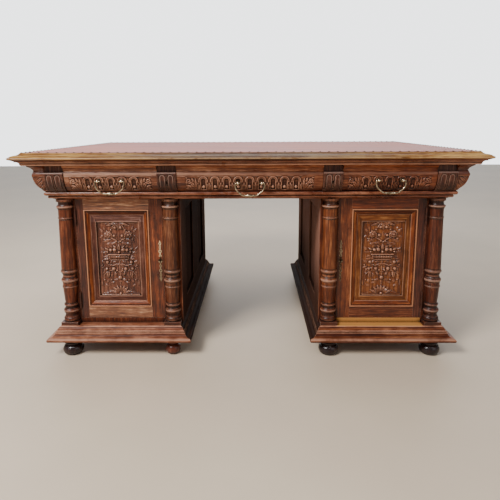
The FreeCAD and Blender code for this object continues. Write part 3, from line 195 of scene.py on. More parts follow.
class CarvingSizes(bpy.types.PropertyGroup):
    mesh_pitch: length("Mesh pitch", "Distance between points of a carved surface", 1.25 * MM, min=0.6 * MM)
    arch_spacing: length("Arch spacing", "Distance between the middles of two arches", 40.9 * MM)
    arch_half: length("Arch half width", "Half the width of an arch's niche", 8.8 * MM)
    niche_depth: length("Niche depth", "How deep a niche is cut", 5.0 * MM)
    ground_depth: length("Ground depth", "How deep the ground of the frieze is cut away", 2.8 * MM)
    side_arches: number_of("Side arches", "Arches on a side drawer", 5)
    centre_arches: number_of("Centre arches", "Arches on a centre drawer", 9)
    end_arches: number_of("End arches", "Arches on an end of the desk", 19)
    panel_rise: length("Panel relief", "Height of the door carving above its ground", 8 * MM)


class FinishColours(bpy.types.PropertyGroup):
    oak_dark: shade("Dark oak", "Stain where it has gathered", (0.030, 0.008, 0.005))
    oak_mid: shade("Oak", "Stained oak", (0.112, 0.024, 0.008))
    oak_light: shade("Light oak", "Oak where the stain has thinned", (0.300, 0.102, 0.044))
    oak_worn: shade("Worn oak", "Oak rubbed bare along edges", (0.620, 0.330, 0.215))
    # Grime is old wax and dust; the same near black also paints the shade in hollows and grooves.
    grime_and_shade: shade("Grime", "Old wax and dust in the hollows", (0.008, 0.003, 0.002))
    lining: shade("Lining oak", "Unstained oak inside", (0.330, 0.190, 0.090))
    leather: shade("Leather", "Burgundy leather", (0.230, 0.036, 0.022))
    leather_faded: shade("Faded leather", "Leather where it has faded", (0.430, 0.110, 0.062))
    brass: shade("Brass", "Rubbed brass", (0.770, 0.615, 0.420))
    brass_dark: shade("Tarnish", "Tarnished brass", (0.050, 0.034, 0.020))


class StageSettings(bpy.types.PropertyGroup):
    camera_place: FloatVectorProperty(
        name="Camera place", description="Where the camera stands", subtype="TRANSLATION",
        default=(0.0178, -2.0714, 0.8581))
    pitch: angle("Pitch", "How far the camera looks down", 9.23)
    yaw: angle("Yaw", "How far the camera looks to the right", -0.62)
    roll: angle("Roll", "How far the camera leans", -0.26)
    lens: FloatProperty(name="Lens", description="Focal length in mm on a 36 mm sensor", default=32.82)
    shift: FloatProperty(name="Shift", description="Vertical shift of the lens", default=-0.1)
    floor: shade("Floor", "Colour of the floor", (0.62, 0.50, 0.37))


# ================================================ shader maths
def maths(operation, swapped=False):
    """An operator of Value that adds one Math node."""
    def operator(first, *second):
        operands = (*second, first) if swapped else (first, *second)
        return first.recipe.node("ShaderNodeMath", dict(enumerate(operands)), operation=operation)
    return operator


class Value:
    """One output of a node. An expression on values adds the Math nodes for it."""

    def __init__(self, recipe, socket):
        self.recipe = recipe
        self.socket = socket

    __add__ = __radd__ = maths("ADD")
    __mul__ = __rmul__ = maths("MULTIPLY")
    __sub__ = maths("SUBTRACT")
    __rsub__ = maths("SUBTRACT", swapped=True)
    __truediv__ = maths("DIVIDE")
    __pow__ = maths("POWER")
    __abs__ = maths("ABSOLUTE")
    __lt__ = maths("LESS_THAN")
    __gt__ = maths("GREATER_THAN")
    least = maths("MINIMUM")
    most = maths("MAXIMUM")

    def rise(self, low, high):
        """0 up to low, 1 from high on, and smooth between; low may be the larger."""
        inputs = {"Value": self, "From Min": low, "From Max": high}
        return self.recipe.node("ShaderNodeMapRange", inputs, interpolation_type="SMOOTHSTEP")

    def within(self, low, high, soft=0.7 * MM):
        """1 between low and high, 0 outside."""
        return self.rise(low - soft, low + soft) * self.rise(high + soft, high - soft)


class Recipe:
    """The nodes of a material or of the world; its colour is built up coat by coat."""

    def __init__(self, owner, colours=None, coordinates="Object"):
        self.owner = owner
        self.colours = colours
        self.colour = None
        owner.use_nodes = True
        self.tree = owner.node_tree
        self.tree.nodes.clear()
        self.place = self.node("ShaderNodeTexCoord", output=coordinates)
        split = self.node("ShaderNodeSeparateXYZ", {0: self.place}).socket.node
        self.x, self.y, self.z = [Value(self, socket) for socket in split.outputs]

    def node(self, kind, inputs=None, output=0, **settings):
        """One of a new node's outputs; settings are its own properties, and stops those of its ramp."""
        made = self.tree.nodes.new(kind)
        for key, value in settings.items():
            if key == "stops":
                self.set_stops(made.color_ramp, value)
            else:
                setattr(made, key, value)
        for key, value in (inputs or {}).items():
            self.feed(made.inputs[key], value)
        return Value(self, made.outputs[output]) if made.outputs else None

    @staticmethod
    def set_stops(ramp, stops):
        while len(ramp.elements) < len(stops):
            ramp.elements.new(1.0)
        for element, (position, colour) in zip(ramp.elements, stops):
            element.position = position
            element.color = (*colour, 1.0)

    def feed(self, socket, value):
        """Links a value to a socket or sets it there; None leaves the socket alone."""
        if isinstance(value, Value):
            self.tree.links.new(value.socket, socket)
        elif value is not None:
            flat_colour = socket.type == "RGBA" and len(value) == 3
            socket.default_value = (*value, 1.0) if flat_colour else value

    def mix(self, factor, first, second, blend="MIX"):
        """A colour between two."""
        inputs = {0: factor, 6: first, 7: second}
        return self.node("ShaderNodeMix", inputs, 2, data_type="RGBA", blend_type=blend)

    def by_hand(self, left, right):
        """One colour left of the middle of the desk, and another right of it."""
        return self.mix(self.x > 0.0, left, right)

    def stain(self, mask, strength):
        """A coat that the grain shows through: it multiplies red, green and blue, and over 1 it bleaches."""
        self.colour = self.mix(mask, self.colour, strength, "MULTIPLY")

    def cover(self, mask, colour):
        """A coat that hides what is below it, where the mask is 1."""
        self.colour = self.mix(mask, self.colour, colour)

    def noise(self, vector, scale, detail=3.0, roughness=0.55):
        inputs = {"Vector": vector, "Scale": scale, "Detail": detail, "Roughness": roughness}
        return self.node("ShaderNodeTexNoise", inputs)

    def bump(self, height, distance, strength, normal=None):
        inputs = {"Height": height, "Distance": distance, "Strength": strength, "Normal": normal}
        return self.node("ShaderNodeBump", inputs)

    def rounded(self, radius):
        """The surface's normal with its edges rounded over."""
        return self.node("ShaderNodeBevel", {"Radius": radius}, samples=4)

    def edges(self, rounded):
        """How much an edge is rounded over: 0 on a flat, towards 1 on a sharp edge."""
        normal = self.node("ShaderNodeNewGeometry", output="Normal")
        match = self.node("ShaderNodeVectorMath", {0: rounded, 1: normal}, "Value", operation="DOT_PRODUCT")
        return (1.0 - match).rise(0.008, 0.11)

    def dirt_and_shade(self, distance):
        """1 deep in a corner, 0 in the open: where dust gathers, and where the finishes paint shade."""
        open_air = self.node("ShaderNodeAmbientOcclusion", {"Distance": distance}, "AO", samples=6)
        return (1.0 - open_air).rise(0.16, 0.62)

    def finish(self, roughness, normal=None, matt=None, **constants):
        """The shader, and the material it makes; matt is where it has no gloss at all.

        Constants are sockets' names with _ for each space.
        """
        inputs = {key.replace("_", " "): value for key, value in constants.items()}
        inputs.update({"Base Color": self.colour, "Roughness": roughness, "Normal": normal})
        shader = self.node("ShaderNodeBsdfPrincipled", inputs)
        if matt is not None:
            plain = self.node("ShaderNodeBsdfDiffuse", {"Color": self.colour})
            shader = self.node("ShaderNodeMixShader", {0: matt, 1: shader, 2: plain})
        self.node("ShaderNodeOutputMaterial", {"Surface": shader})
        return self.owner


# ================================================ oak and its grain
GRAIN_STRETCH = 0.055


def grain_along(recipe, axis):
    """The place, squeezed along one axis so that noise on it runs in streaks."""
    scale = [1.0, 1.0, 1.0]
    scale["xyz".index(axis)] = GRAIN_STRETCH
    return recipe.node("ShaderNodeVectorMath", {0: recipe.place, 1: scale}, operation="MULTIPLY")


def grain_choice(recipe, mask, first, second):
    """Grain along the first axis where the mask is 0 and along the second where it is 1."""
    grains = {0: mask, 4: grain_along(recipe, first), 5: grain_along(recipe, second)}
    return recipe.node("ShaderNodeMix", grains, 1, data_type="VECTOR")


def grain_round_the_top(recipe):
    """Grain along each mitred length: X on the long sides, Y on the ends."""
    on_end = (HALF_WIDTH - abs(recipe.x)) < (HALF_DEPTH - abs(recipe.y))
    return grain_choice(recipe, on_end, "x", "y")


def from_door_centre(recipe):
    """Distances from the upright and the level middle line of the nearest door panel."""
    return abs(abs(recipe.x) - DOOR_CENTRE_X), abs(recipe.z - DOOR_CENTRE_Z)


def from_panel_edge(recipe):
    """Distances from the upright and the level edges of the nearest door panel, inwards."""
    across, up = from_door_centre(recipe)
    return PANEL_HALF_X - across, PANEL_HALF_Z - up


def door_grain(recipe):
    """Stiles upright, rails across."""
    return grain_choice(recipe, from_door_centre(recipe)[0] < PANEL_HALF_X, "z", "x")


def panel_grain(recipe):
    """Mouldings along their own lengths, the panel upright."""
    across, up = from_panel_edge(recipe)
    return grain_choice(recipe, (up < across) * (up < (RIM_WIDTH + RAIL_GRAIN)), "z", "x")


def pedestal_grain(recipe):
    """Posts and stiles upright; rails between them along the depth."""
    rail = (recipe.z < FOOT_RAIL_TOP).most(recipe.z > HEAD_RAIL_FOOT)
    return grain_choice(recipe, rail * (abs(recipe.y) < RAIL_HALF), "z", "y")


class Oak(Recipe):
    """Oak in its first stain, with what later coats go by: streaks of figure, and patches of wear."""

    def __init__(self, name, colours, grain, tone):
        super().__init__(bpy.data.materials.new(name), colours)
        streaks = grain(self) if callable(grain) else grain_along(self, grain)
        broad = self.noise(streaks, 22.0)
        self.figure = self.noise(streaks, 130.0, 6.0, 0.7)
        self.fine = self.noise(streaks, 480.0, 3.0, 0.6)
        self.pores = self.noise(streaks, 900.0, 2.0).rise(0.58, 0.70)
        self.patches = self.noise(self.place, 12.0, 6.0, 0.7)
        level = broad * 0.45 + self.figure * 1.3 + self.fine * 0.9 + self.patches * 0.55 + (tone - 1.6)
        tones = ((0.18, colours.oak_dark), (0.5, colours.oak_mid), (0.82, colours.oak_light))
        self.colour = self.node("ShaderNodeValToRGB", {"Fac": level}, stops=tones)
        self.cover(self.pores * 0.4, colours.oak_dark)

    def rub_and_highlight(self, mask):
        """A coat of bare, rubbed oak, also used for painted highlights."""
        self.cover(mask, self.colours.oak_worn)


def oak(name, colours, grain, tone=0.5, wear=1.0, grime_and_shade=1.0, shine=0.36, tint=None, relief=False, reach=18,
        gloss=0.4, matt=None):
    """Stained, waxed oak. Tone runs from dark (0) to light (1); tint is called for further coats.

    Grime and painted shade gather within reach millimetres of a corner, or where the carving attribute is
    low;
    carved ridges take rubbed wear and painted highlights. Matt is a mask and a colour of painted shade that
    covers the wood there, where it was never waxed and has hardly any gloss. Grain is an axis or a function,
    and wear a number or a function, of the recipe.
    """
    recipe = Oak(name, colours, grain, tone)
    if tint is not None:
        tint(recipe)
    if matt is not None:
        mask, painted_shade_colour = matt
        shown = mask(recipe)
        recipe.cover(shown, painted_shade_colour(recipe))
        matt = shown * 0.85
    rounded = recipe.rounded(1.8 * MM)
    if relief:
        # On carving, high ridges are rubbed and painted with highlights; grooves get grime and painted shade.
        carved = recipe.node("ShaderNodeAttribute", output="Fac", attribute_name="carving")
        worn_and_highlit = carved.rise(0.56, 0.95) * recipe.patches.rise(0.2, 0.6)
        hollow = carved.rise(0.46, 0.10)
    else:
        # Sharp edges are rubbed, and that wear also paints their highlights; corners get grime and painted
        # shade.
        worn_and_highlit = recipe.edges(rounded) * recipe.patches.rise(0.22, 0.55)
        hollow = recipe.dirt_and_shade(reach * MM)
    rubbed_share = wear(recipe) if callable(wear) else wear
    recipe.rub_and_highlight(worn_and_highlit * (0.6 * rubbed_share))
    recipe.cover(hollow * (0.85 * grime_and_shade), colours.grime_and_shade)
    roughness = shine + (recipe.patches - 0.5) * 0.4 + hollow * 0.25 - worn_and_highlit * 0.06
    relief_height = recipe.figure * 0.5 + recipe.fine * 0.4 - recipe.pores
    normal = recipe.bump(relief_height, 0.3 * MM, 0.6, rounded)
    return recipe.finish(roughness, normal, matt, Specular_IOR_Level=gloss)


# ================================================ further coats, one function for each kind of piece
GOLDEN_RAIL = (0.520, 0.240, 0.060)
# The KNEE colours paint shade over the kneehole: near black on its plinths, brown on its faces, darker deep
# inside.
KNEE_SHADOW_BLACK = (0.018, 0.007, 0.004)
KNEE_BROWN = (0.260, 0.125, 0.085)
KNEE_SHADE = (0.090, 0.042, 0.028)
KNEE_DEEP_SHADE = (0.026, 0.010, 0.006)
# Painted highlights: along the top's nose, round the columns' rings, and on the bracket tongues' rims and the
# door beads, both also rubbed.
NOSE_HIGHLIGHT = (0.640, 0.400, 0.200)
RUBBED_AND_HIGHLIT_TONGUE = (0.430, 0.270, 0.215)
RING_HIGHLIGHT = (0.560, 0.330, 0.230)
RUBBED_AND_HIGHLIT_BEAD = (0.620, 0.290, 0.150)
FOOT_BLACK = (0.008, 0.006, 0.007)
FOOT_RED = (0.110, 0.024, 0.014)

# Painted highlights on the rings of a column and painted shade in its grooves, as (start, end, strength) in
# millimetres above its foot.
COLUMN_RING_HIGHLIGHTS = (
    (2, 6, 0.8), (39, 45, 0.7), (61, 66, 0.6), (134.5, 138, 0.5), (157, 165, 1.0), (177, 180.5, 0.35),
    (193, 200, 0.55), (COLUMN_HEIGHT - 75.5, COLUMN_HEIGHT - 72, 0.4),
    (COLUMN_HEIGHT - 34, COLUMN_HEIGHT - 28, 1.0), (COLUMN_HEIGHT - 7, COLUMN_HEIGHT - 3, 0.4))
COLUMN_GROOVE_SHADE = (
    (10, 16, 0.7), (20, 32, 0.8), (50, 60, 1.0), (69, 73, 1.0), (139.5, 142.5, 0.7), (169.5, 175, 1.0),
    (183, 190, 1.0), (202, 207, 0.8), (COLUMN_HEIGHT - 81, COLUMN_HEIGHT - 76.5, 1.0),
    (COLUMN_HEIGHT - 71, COLUMN_HEIGHT - 68.5, 0.6), (COLUMN_HEIGHT - 40, COLUMN_HEIGHT - 35.5, 1.0),
    (COLUMN_HEIGHT - 26, COLUMN_HEIGHT - 11, 0.8))

# The same for a plinth, in millimetres below its top: ridges of wear and painted highlight, and grooves of
# painted shade, which are all of one strength.
PLINTH_RIDGE_HIGHLIGHTS = ((0.4, 3, 1.0), (14, 17, 1.0), (20.5, 23.5, 0.9), (36, 43, 0.8))
PLINTH_GROOVE_SHADE = ((4, 6.5), (18, 19.6), (26, 33))


def moulding_tint(recipe):
    """Pale where it is rubbed, and brighter at the left."""
    recipe.stain(recipe.patches.rise(0.42, 0.72) * 0.6, (1.7, 2.3, 3.2))
    recipe.stain(recipe.x.rise(-0.30, -0.60), (1.15, 1.3, 1.35))


def cornice_tint(recipe):
    """A moulding with a pale lip at its foot and painted shade in the hollow above that."""
    moulding_tint(recipe)
    recipe.stain(recipe.z.within(CORNICE_FOOT + 6 * MM, CORNICE_FOOT + 10 * MM), (0.4, 0.35, 0.35))
    lip = recipe.z.within(CORNICE_FOOT - 1 * MM, CORNICE_FOOT + 4.5 * MM)
    recipe.rub_and_highlight(lip * recipe.patches.rise(0.2, 0.5) * 0.5)


def edge_tint(recipe):
    """The top's edge: golden where it is rubbed, grey in the middle of a long side, a painted highlight along
    its nose and painted shade under it.
    """
    recipe.stain(1.0, (1.3, 2.15, 1.25))
    recipe.stain(recipe.x.rise(0.40, 0.75), (1.4, 1.5, 1.8))
    recipe.stain(abs(recipe.x).rise(0.66, 0.10) * recipe.patches.rise(0.2, 0.5), (0.40, 0.46, 1.0))
    nose = abs(recipe.z - NOSE_Z).rise(3 * MM, 1 * MM) * recipe.patches.rise(0.3, 0.5)
    recipe.cover(nose * 0.45, NOSE_HIGHLIGHT)
    # Painted shade under the nose.
    recipe.stain(recipe.z < (NOSE_Z - 4 * MM), (0.45, 0.22, 0.22))


def bracket_tint(recipe):
    """A purple-brown stain, older than the rest; the tongues have rubbed, highlit rims and black grooves of
    painted shade.
    """
    face = recipe.z < BRACKET_FACE_TOP
    # The stain is darker low down.
    low = recipe.z.rise(CORNICE_FOOT - 45 * MM, CORNICE_FOOT - 85 * MM)
    recipe.stain(1.0, recipe.mix(low, (0.78, 1.0, 1.55), (0.44, 0.50, 0.66)))
    recipe.stain(1.0 - face, (1.05, 1.25, 1.25))
    near, far = [abs(abs(recipe.x) - centre) for centre in BRACKET_CENTRES]
    across = abs(near.least(far) - TONGUE_OFFSET)
    up = (recipe.z - TONGUE_HEAD).most(0.0)
    reach = (across * across + up * up) ** 0.5
    # Pale rims round the tongues and along the top lip, on their upper parts and most at the left: rubbed
    # wear and painted highlights.
    rim = reach.within(TONGUE_HALF - 2.6 * MM, TONGUE_HALF - 0.4 * MM) * face
    lip = recipe.z.within(BRACKET_FACE_TOP - 4.5 * MM, BRACKET_FACE_TOP + 0.5 * MM)
    shown = (1.0 - low) * recipe.patches.rise(0.05, 0.4) * (0.55 - recipe.x.rise(0.1, 0.6) * 0.2)
    recipe.cover(rim.most(lip) * shown, RUBBED_AND_HIGHLIT_TONGUE)
    # Painted shade: a line down the middle of each tongue and the groove round it.
    middle = across.rise(1.8 * MM, 0.6 * MM) * (recipe.z < TONGUE_HEAD) * 0.5
    groove = reach.within(TONGUE_HALF + 0.2 * MM, TONGUE_HALF + 3.2 * MM) * 0.85
    recipe.cover(middle.most(groove) * face, recipe.colours.grime_and_shade)


def column_tint(recipe):
    """Painted highlights on the crowns and painted shade in the grooves of the turned rings; each column took
    the stain in its own way.
    """
    inner = recipe.by_hand((0.95, 1.2, 1.25), (1.35, 1.5, 1.25))
    outer = recipe.by_hand((1.0, 0.95, 0.9), (0.72, 0.70, 0.75))
    recipe.stain(1.0, recipe.mix(abs(recipe.x) > DOOR_CENTRE_X, inner, outer))
    up = (recipe.z - COLUMN_FOOT) / MM
    recipe.stain(up.rise(170, 110), (0.72, 0.60, 0.55))
    for start, end, strength in COLUMN_GROOVE_SHADE:
        recipe.stain(up.within(start, end, 0.8) * strength, (0.25, 0.25, 0.30))
    crown_highlights = sum(up.within(start, end, 1.2) * strength for start, end, strength in COLUMN_RING_HIGHLIGHTS)
    recipe.cover(crown_highlights * recipe.patches.rise(0.1, 0.5) * 0.42, RING_HIGHLIGHT)


def frieze_tint(recipe):
    """Dust and painted sheen, pale at the left; darker and redder to the right; a pinkish bloom of both above
    the carving.
    """
    pale = recipe.x.rise(0.30, -0.45)
    drop = CORNICE_FOOT - recipe.z
    recipe.stain(pale, (1.35, 1.8, 2.3))
    # Dust and painted sheen above the carving.
    dust_and_sheen_bloom = (recipe.z > (BAND_HIGH - BAND_RAIL)) * (drop > NECK_FOOT_DROP)
    recipe.stain(dust_and_sheen_bloom * (0.3 + pale * 0.7), (1.25, 1.7, 2.3))
    recipe.stain(recipe.x.rise(0.30, 0.55), (0.80, 0.64, 0.55))
    # Painted light on the cyma and on the neck below it.
    recipe.stain(drop.within(1 * MM, 10 * MM), (1.6, 1.7, 1.6))
    recipe.stain(drop.within(NECK_DROP - 4 * MM, NECK_DROP + 4 * MM), (1.6, 1.8, 1.8))
    # Darker towards the foot of the band.
    recipe.stain(recipe.z.rise(BAND_LOW + 32 * MM, BAND_LOW), (0.50, 0.42, 0.36))
    # A painted highlight along the top edge of the carved band, strongest at the left.
    recipe.rub_and_highlight(drop.within(27 * MM, 36 * MM) * (0.15 + pale * 0.45))


def frieze_wear(recipe):
    """The carving is rubbed most at the left and in the middle, and least on the right hand drawers."""
    return 1.1 - recipe.x.rise(0.15, 0.45) * 0.65


def door_tint(recipe):
    """Pale rails on the left hand doors, and stiles with orange streaks beside the panel."""
    across, up = from_door_centre(recipe)
    rail = (across < PANEL_HALF_X) * (up > PANEL_HALF_Z)
    foot = recipe.z < DOOR_CENTRE_Z
    # The head rails of the left hand doors are paler still: painted light in the shade under the waist
    # moulding.
    recipe.stain(rail * (recipe.x < 0.0), recipe.mix(foot, (2.8, 5.0, 7.0), (2.0, 3.4, 4.6)))
    recipe.stain(rail * (recipe.x > 0.0) * (1.0 - foot), (1.7, 1.6, 1.4))
    inner = (abs(recipe.x) < PANEL_LOW.x) * recipe.patches.rise(0.35, 0.65)
    recipe.stain(inner, recipe.by_hand((1.6, 1.5, 1.2), (1.3, 1.25, 0.95)))
    recipe.stain(abs(recipe.x) > PANEL_HIGH.x, (0.72, 0.75, 1.05))


def panel_tint(recipe):
    """Door panel: a golden bead, an orange slope, and a flat band that is dark on the left hand doors; with
    painted light and shade.
    """
    across, up = from_panel_edge(recipe)
    inset = across.least(up)
    slope = inset.rise(RIM_WIDTH + 0.5 * MM, RIM_WIDTH - 1.0 * MM)
    recipe.stain(1.0 - slope, recipe.by_hand((0.68, 0.88, 1.4), (1.3, 1.65, 1.2)))
    # Painted light on the band above the field, on the left hand doors.
    lit_above_field = (recipe.z > (FIELD_CENTRE_Z + FIELD_HALF_Z)) * (recipe.x < 0.0)
    recipe.stain((1.0 - slope) * lit_above_field, (1.5, 2.0, 2.4))
    # The slope is orange, with painted shade along the head, where it faces down.
    head = (recipe.z > DOOR_CENTRE_Z) * (up < across)
    recipe.stain(slope, recipe.mix(head, (1.45, 1.35, 0.8), (0.8, 0.7, 0.6)))
    # A line of painted shade just inside the bead.
    recipe.stain(inset.within(BEAD_WIDTH - 0.5 * MM, BEAD_WIDTH + 4 * MM), (0.30, 0.25, 0.25))
    recipe.rub_and_highlight(inset.within(RIM_WIDTH - 1.5 * MM, RIM_WIDTH + 0.5 * MM) * 0.25)
    beyond_x = abs(abs(recipe.x) - DOOR_CENTRE_X) - FIELD_HALF_X
    beyond_z = abs(recipe.z - FIELD_CENTRE_Z) - FIELD_HALF_Z
    lip = beyond_x.most(beyond_z).within(0.2 * MM, 2.6 * MM)
    recipe.rub_and_highlight(lip * recipe.patches.rise(0.15, 0.5) * 0.3)
    # A painted highlight along the bead, with rubbed wear.
    recipe.cover(inset.within(1.2 * MM, 4.6 * MM) * 0.65, RUBBED_AND_HIGHLIT_BEAD)


def field_tint(recipe):
    """The carved fields: greyer on the left hand doors, golden on the right hand ones."""
    recipe.stain(1.0, recipe.by_hand((0.95, 1.1, 1.4), (1.2, 1.25, 0.8)))


def under_front_right_door(recipe):
    return (recipe.x > DOOR_LOW.x) * (recipe.x < DOOR_HIGH.x) * (recipe.y < 0.0)


def pedestal_tint(recipe):
    """A newer, golden rail under the front right door."""
    recipe.cover(under_front_right_door(recipe) * (recipe.z < DOOR_LOW.z) * 0.8, GOLDEN_RAIL)


def plinth_tint(recipe):
    """Rubbed and painted with highlights along its ridges, painted shade in its grooves; the ledge under the
    front right door is newer and golden.
    """
    moulding_tint(recipe)
    recipe.stain(recipe.x > 0.0, (0.85, 0.78, 0.62))
    down = (LEDGE_Z - recipe.z) / MM
    # Pale lines on the ridges are rubbed wear and painted highlights; the grooves get painted shade.
    ridges = 0.0
    for start, end, strength in PLINTH_RIDGE_HIGHLIGHTS:
        ridges = (down.within(start, end, 0.7) * strength).most(ridges)
    recipe.rub_and_highlight(ridges * recipe.patches.rise(0.25, 0.55) * 0.5)
    for start, end in PLINTH_GROOVE_SHADE:
        recipe.stain(down.within(start, end, 0.7), (0.50, 0.42, 0.40))
    recipe.cover(under_front_right_door(recipe) * (down < 1.5) * 0.8, GOLDEN_RAIL)


def foot_tint(recipe):
    """Blackened feet, with one redder foot that was put in later."""
    later = (abs(recipe.x - LATER_FOOT_X) < FOOT_REACH) * (recipe.y < 0.0)
    red = recipe.mix(0.5, recipe.colour, FOOT_RED)
    recipe.cover(0.88, FOOT_BLACK)
    recipe.cover(later, red)


def knee_face(recipe):
    """Frames and panels towards the kneehole."""
    return (abs(recipe.x) < (PEDESTAL_LOW.x + 40 * MM)) * (abs(recipe.y) < (DOOR_FACE - 2 * MM))


def knee_face_shade(recipe):
    """Painted shade: brown with a little grain, darker low down and, on the left, deep in the kneehole."""
    low = recipe.z.rise(LEDGE_Z + 330 * MM, LEDGE_Z + 60 * MM)
    deep = abs(recipe.y).rise(0.42, 0.25) * (recipe.x < 0.0)
    brown = recipe.mix(low.most(deep) * 0.9, recipe.by_hand(KNEE_SHADE, KNEE_BROWN), KNEE_DEEP_SHADE)
    return recipe.mix(recipe.figure.rise(0.65, 0.35), brown, (0.65, 0.60, 0.60), "MULTIPLY")


def knee_plinth(recipe):
    """The lengths of the plinths that run along the kneehole, up to their mitres."""
    return (abs(recipe.x) - PLINTH_KNEE_X) < (PLINTH_TIP_Y - abs(recipe.y)).least(60 * MM)


# Near black with a little grain: painted shadow over the kneehole's plinths.
def knee_plinth_shadow(recipe):
    return recipe.mix(recipe.figure.rise(0.3, 0.7), KNEE_SHADOW_BLACK, tuple(part * 1.6 for part in KNEE_SHADOW_BLACK))


# ================================================ other finishes
def lining_oak(colours):
    recipe = Recipe(bpy.data.materials.new("lining_oak"))
    streaks = grain_along(recipe, "y")
    figure = recipe.noise(streaks, 60.0, 4.0, 0.6)
    broad = recipe.noise(streaks, 9.0)
    pores = recipe.noise(streaks, 520.0, 2.0).rise(0.56, 0.70)
    light = (figure * 0.6 + broad * 0.5).rise(0.3, 0.8)
    recipe.colour = recipe.mix(light, (0.170, 0.085, 0.038), colours.lining)
    recipe.cover(pores * 0.4, (0.070, 0.032, 0.015))
    # Darker in the corners: dust and painted shade.
    recipe.cover(recipe.dirt_and_shade(30 * MM) * 0.5, (0.050, 0.025, 0.012))
    normal = recipe.bump(figure - pores, 0.25 * MM, 0.5)
    return recipe.finish(figure * 0.2 + 0.5, normal, Specular_IOR_Level=0.35)


def leather_finish(colours):
    """Faded burgundy hide: fine grain, creases, stains and a darker border under the nails."""
    recipe = Recipe(bpy.data.materials.new("burgundy_leather"))
    patches = recipe.noise(recipe.place, 3.2, 5.0, 0.6)
    stains = recipe.noise(recipe.place, 14.0, 4.0, 0.65)
    pebbles = recipe.node("ShaderNodeTexVoronoi", {"Vector": recipe.place, "Scale": 620.0})
    creases = recipe.noise(recipe.place, 45.0, 6.0, 0.7)
    along = recipe.node("ShaderNodeCombineXYZ", {0: recipe.x * 0.35, 1: recipe.y})
    rubbing = recipe.noise(along, 9.0, 5.0, 0.65)
    fade = (patches * 0.6 + rubbing * 0.4 + stains * 0.35).rise(0.42, 0.92)
    recipe.colour = recipe.mix(fade, colours.leather, colours.leather_faded)
    recipe.cover(stains.rise(0.58, 0.75) * 0.25, (0.110, 0.028, 0.026))
    edge = (LEATHER_X - abs(recipe.x)).least(LEATHER_Y - abs(recipe.y))
    border = (edge + stains * (6 * MM)).rise(15 * MM, 8 * MM)
    recipe.cover(border * 0.75, (0.045, 0.018, 0.014))
    recipe.cover(pebbles.rise(0.5, 0.9) * 0.25, (0.120, 0.030, 0.028))
    normal = recipe.bump(creases * 0.5 - pebbles * 0.35, 0.35 * MM, 0.5)
    return recipe.finish(0.46 + patches * 0.14 + stains * 0.10, normal, Specular_IOR_Level=0.38,
                         Sheen_Weight=0.05, Sheen_Roughness=0.4)


def old_brass(name, colours, bright, scale=90.0, tarnish=None, span=(0.2, 0.75)):
    """Cast brass with tarnish in its hollows; bright runs from dark (0) to polished (1).

    Tarnish is a mask: 1 where the brass has gone black all over. The narrower the span, the more sharply its
    bright and dark spots stand apart.
    """
    recipe = Recipe(bpy.data.materials.new(name))
    mottle = recipe.noise(recipe.place, scale, 4.0, 0.65)
    rounded = recipe.rounded(0.5 * MM)
    light = mottle * 0.9 + recipe.edges(rounded) * 0.35 + (bright - 0.5) - recipe.dirt_and_shade(5 * MM) * 0.6
    shown = light.rise(*span)
    if tarnish is not None:
        shown = shown * (1.0 - tarnish(recipe))
    recipe.colour = recipe.mix(shown, colours.brass_dark, colours.brass)
    normal = recipe.bump(mottle, 0.15 * MM, 0.5, rounded)
    return recipe.finish(0.38 - shown * 0.20, normal, Metallic=1.0)


def post_tarnish(recipe):
    """The posts and rosettes behind the bail."""
    return (abs(recipe.y) < (HALF_DEPTH - BAIL_INSET)) * 0.9


def escutcheon_tarnish(recipe):
    """Round the keyhole, and less from there down, where hands have been."""
    reach = abs(recipe.z - DOOR_CENTRE_Z)
    return reach.rise(11 * MM, 7 * MM).most((recipe.z < DOOR_CENTRE_Z) * 0.6)


def mottled_metal(name, scale, span, dark, light, rough, polish, **constants):
    """A plain metal in two mottled tones: as rough as given, less the polish where it is light."""
    recipe = Recipe(bpy.data.materials.new(name))
    mottle = recipe.noise(recipe.place, scale, 4.0, 0.65)
    recipe.colour = recipe.mix(mottle.rise(*span), dark, light)
    return recipe.finish(rough - mottle * polish, recipe.bump(mottle, 0.1 * MM, 0.5), **constants)


def stained_hinges():
    """Brass hinges that were stained over with the wood."""
    return mottled_metal("stained_hinges", 90.0, (0.3, 0.7), (0.030, 0.010, 0.006), (0.070, 0.022, 0.011),
                         0.6, 0.2, Specular_IOR_Level=0.3)


def old_steel():
    return mottled_metal("lock_steel", 120.0, (0.35, 0.7), (0.090, 0.070, 0.055), (0.280, 0.260, 0.240),
                         0.62, 0.25, Metallic=1.0)


def floor_finish(settings):
    recipe = Recipe(bpy.data.materials.new("pale_floor"))
    darker = tuple(part * 0.93 for part in settings.floor)
    recipe.colour = recipe.mix(recipe.noise(recipe.place, 1.6, 4.0).rise(0.3, 0.7), darker, settings.floor)
    return recipe.finish(0.55)


# ================================================ mesh helpers
RIDGE_REACH = 3                   # points on each side that a point is compared with
RIDGE_HEIGHT = 1.3 * MM           # above its surroundings, where a ridge counts as fully rubbed
GROOVE_DEPTH = 9 * MM             # below the ground, twice that of a groove that counts as full
FRIEZE_GROUND = 2.6 * MM          # what lies deeper in the frieze counts as a groove


def in_scene(name, data):
    """A new object at the origin."""
    made = bpy.data.objects.new(name, data)
    bpy.context.scene.collection.objects.link(made)
    return made


def mesh_from(bm, name):
    mesh = bpy.data.meshes.new(name)
    bm.to_mesh(mesh)
    bm.free()
    return mesh


def carved_piece(name, mesh, body, material):
    """The object of a carved mesh, dressed, riding on its body."""
    piece = in_scene(name, mesh)
    mesh.materials.append(material)
    mesh.shade_smooth()
    mesh.set_sharp_from_angle(angle=math.radians(40.0))
    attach(piece, body)
    return piece


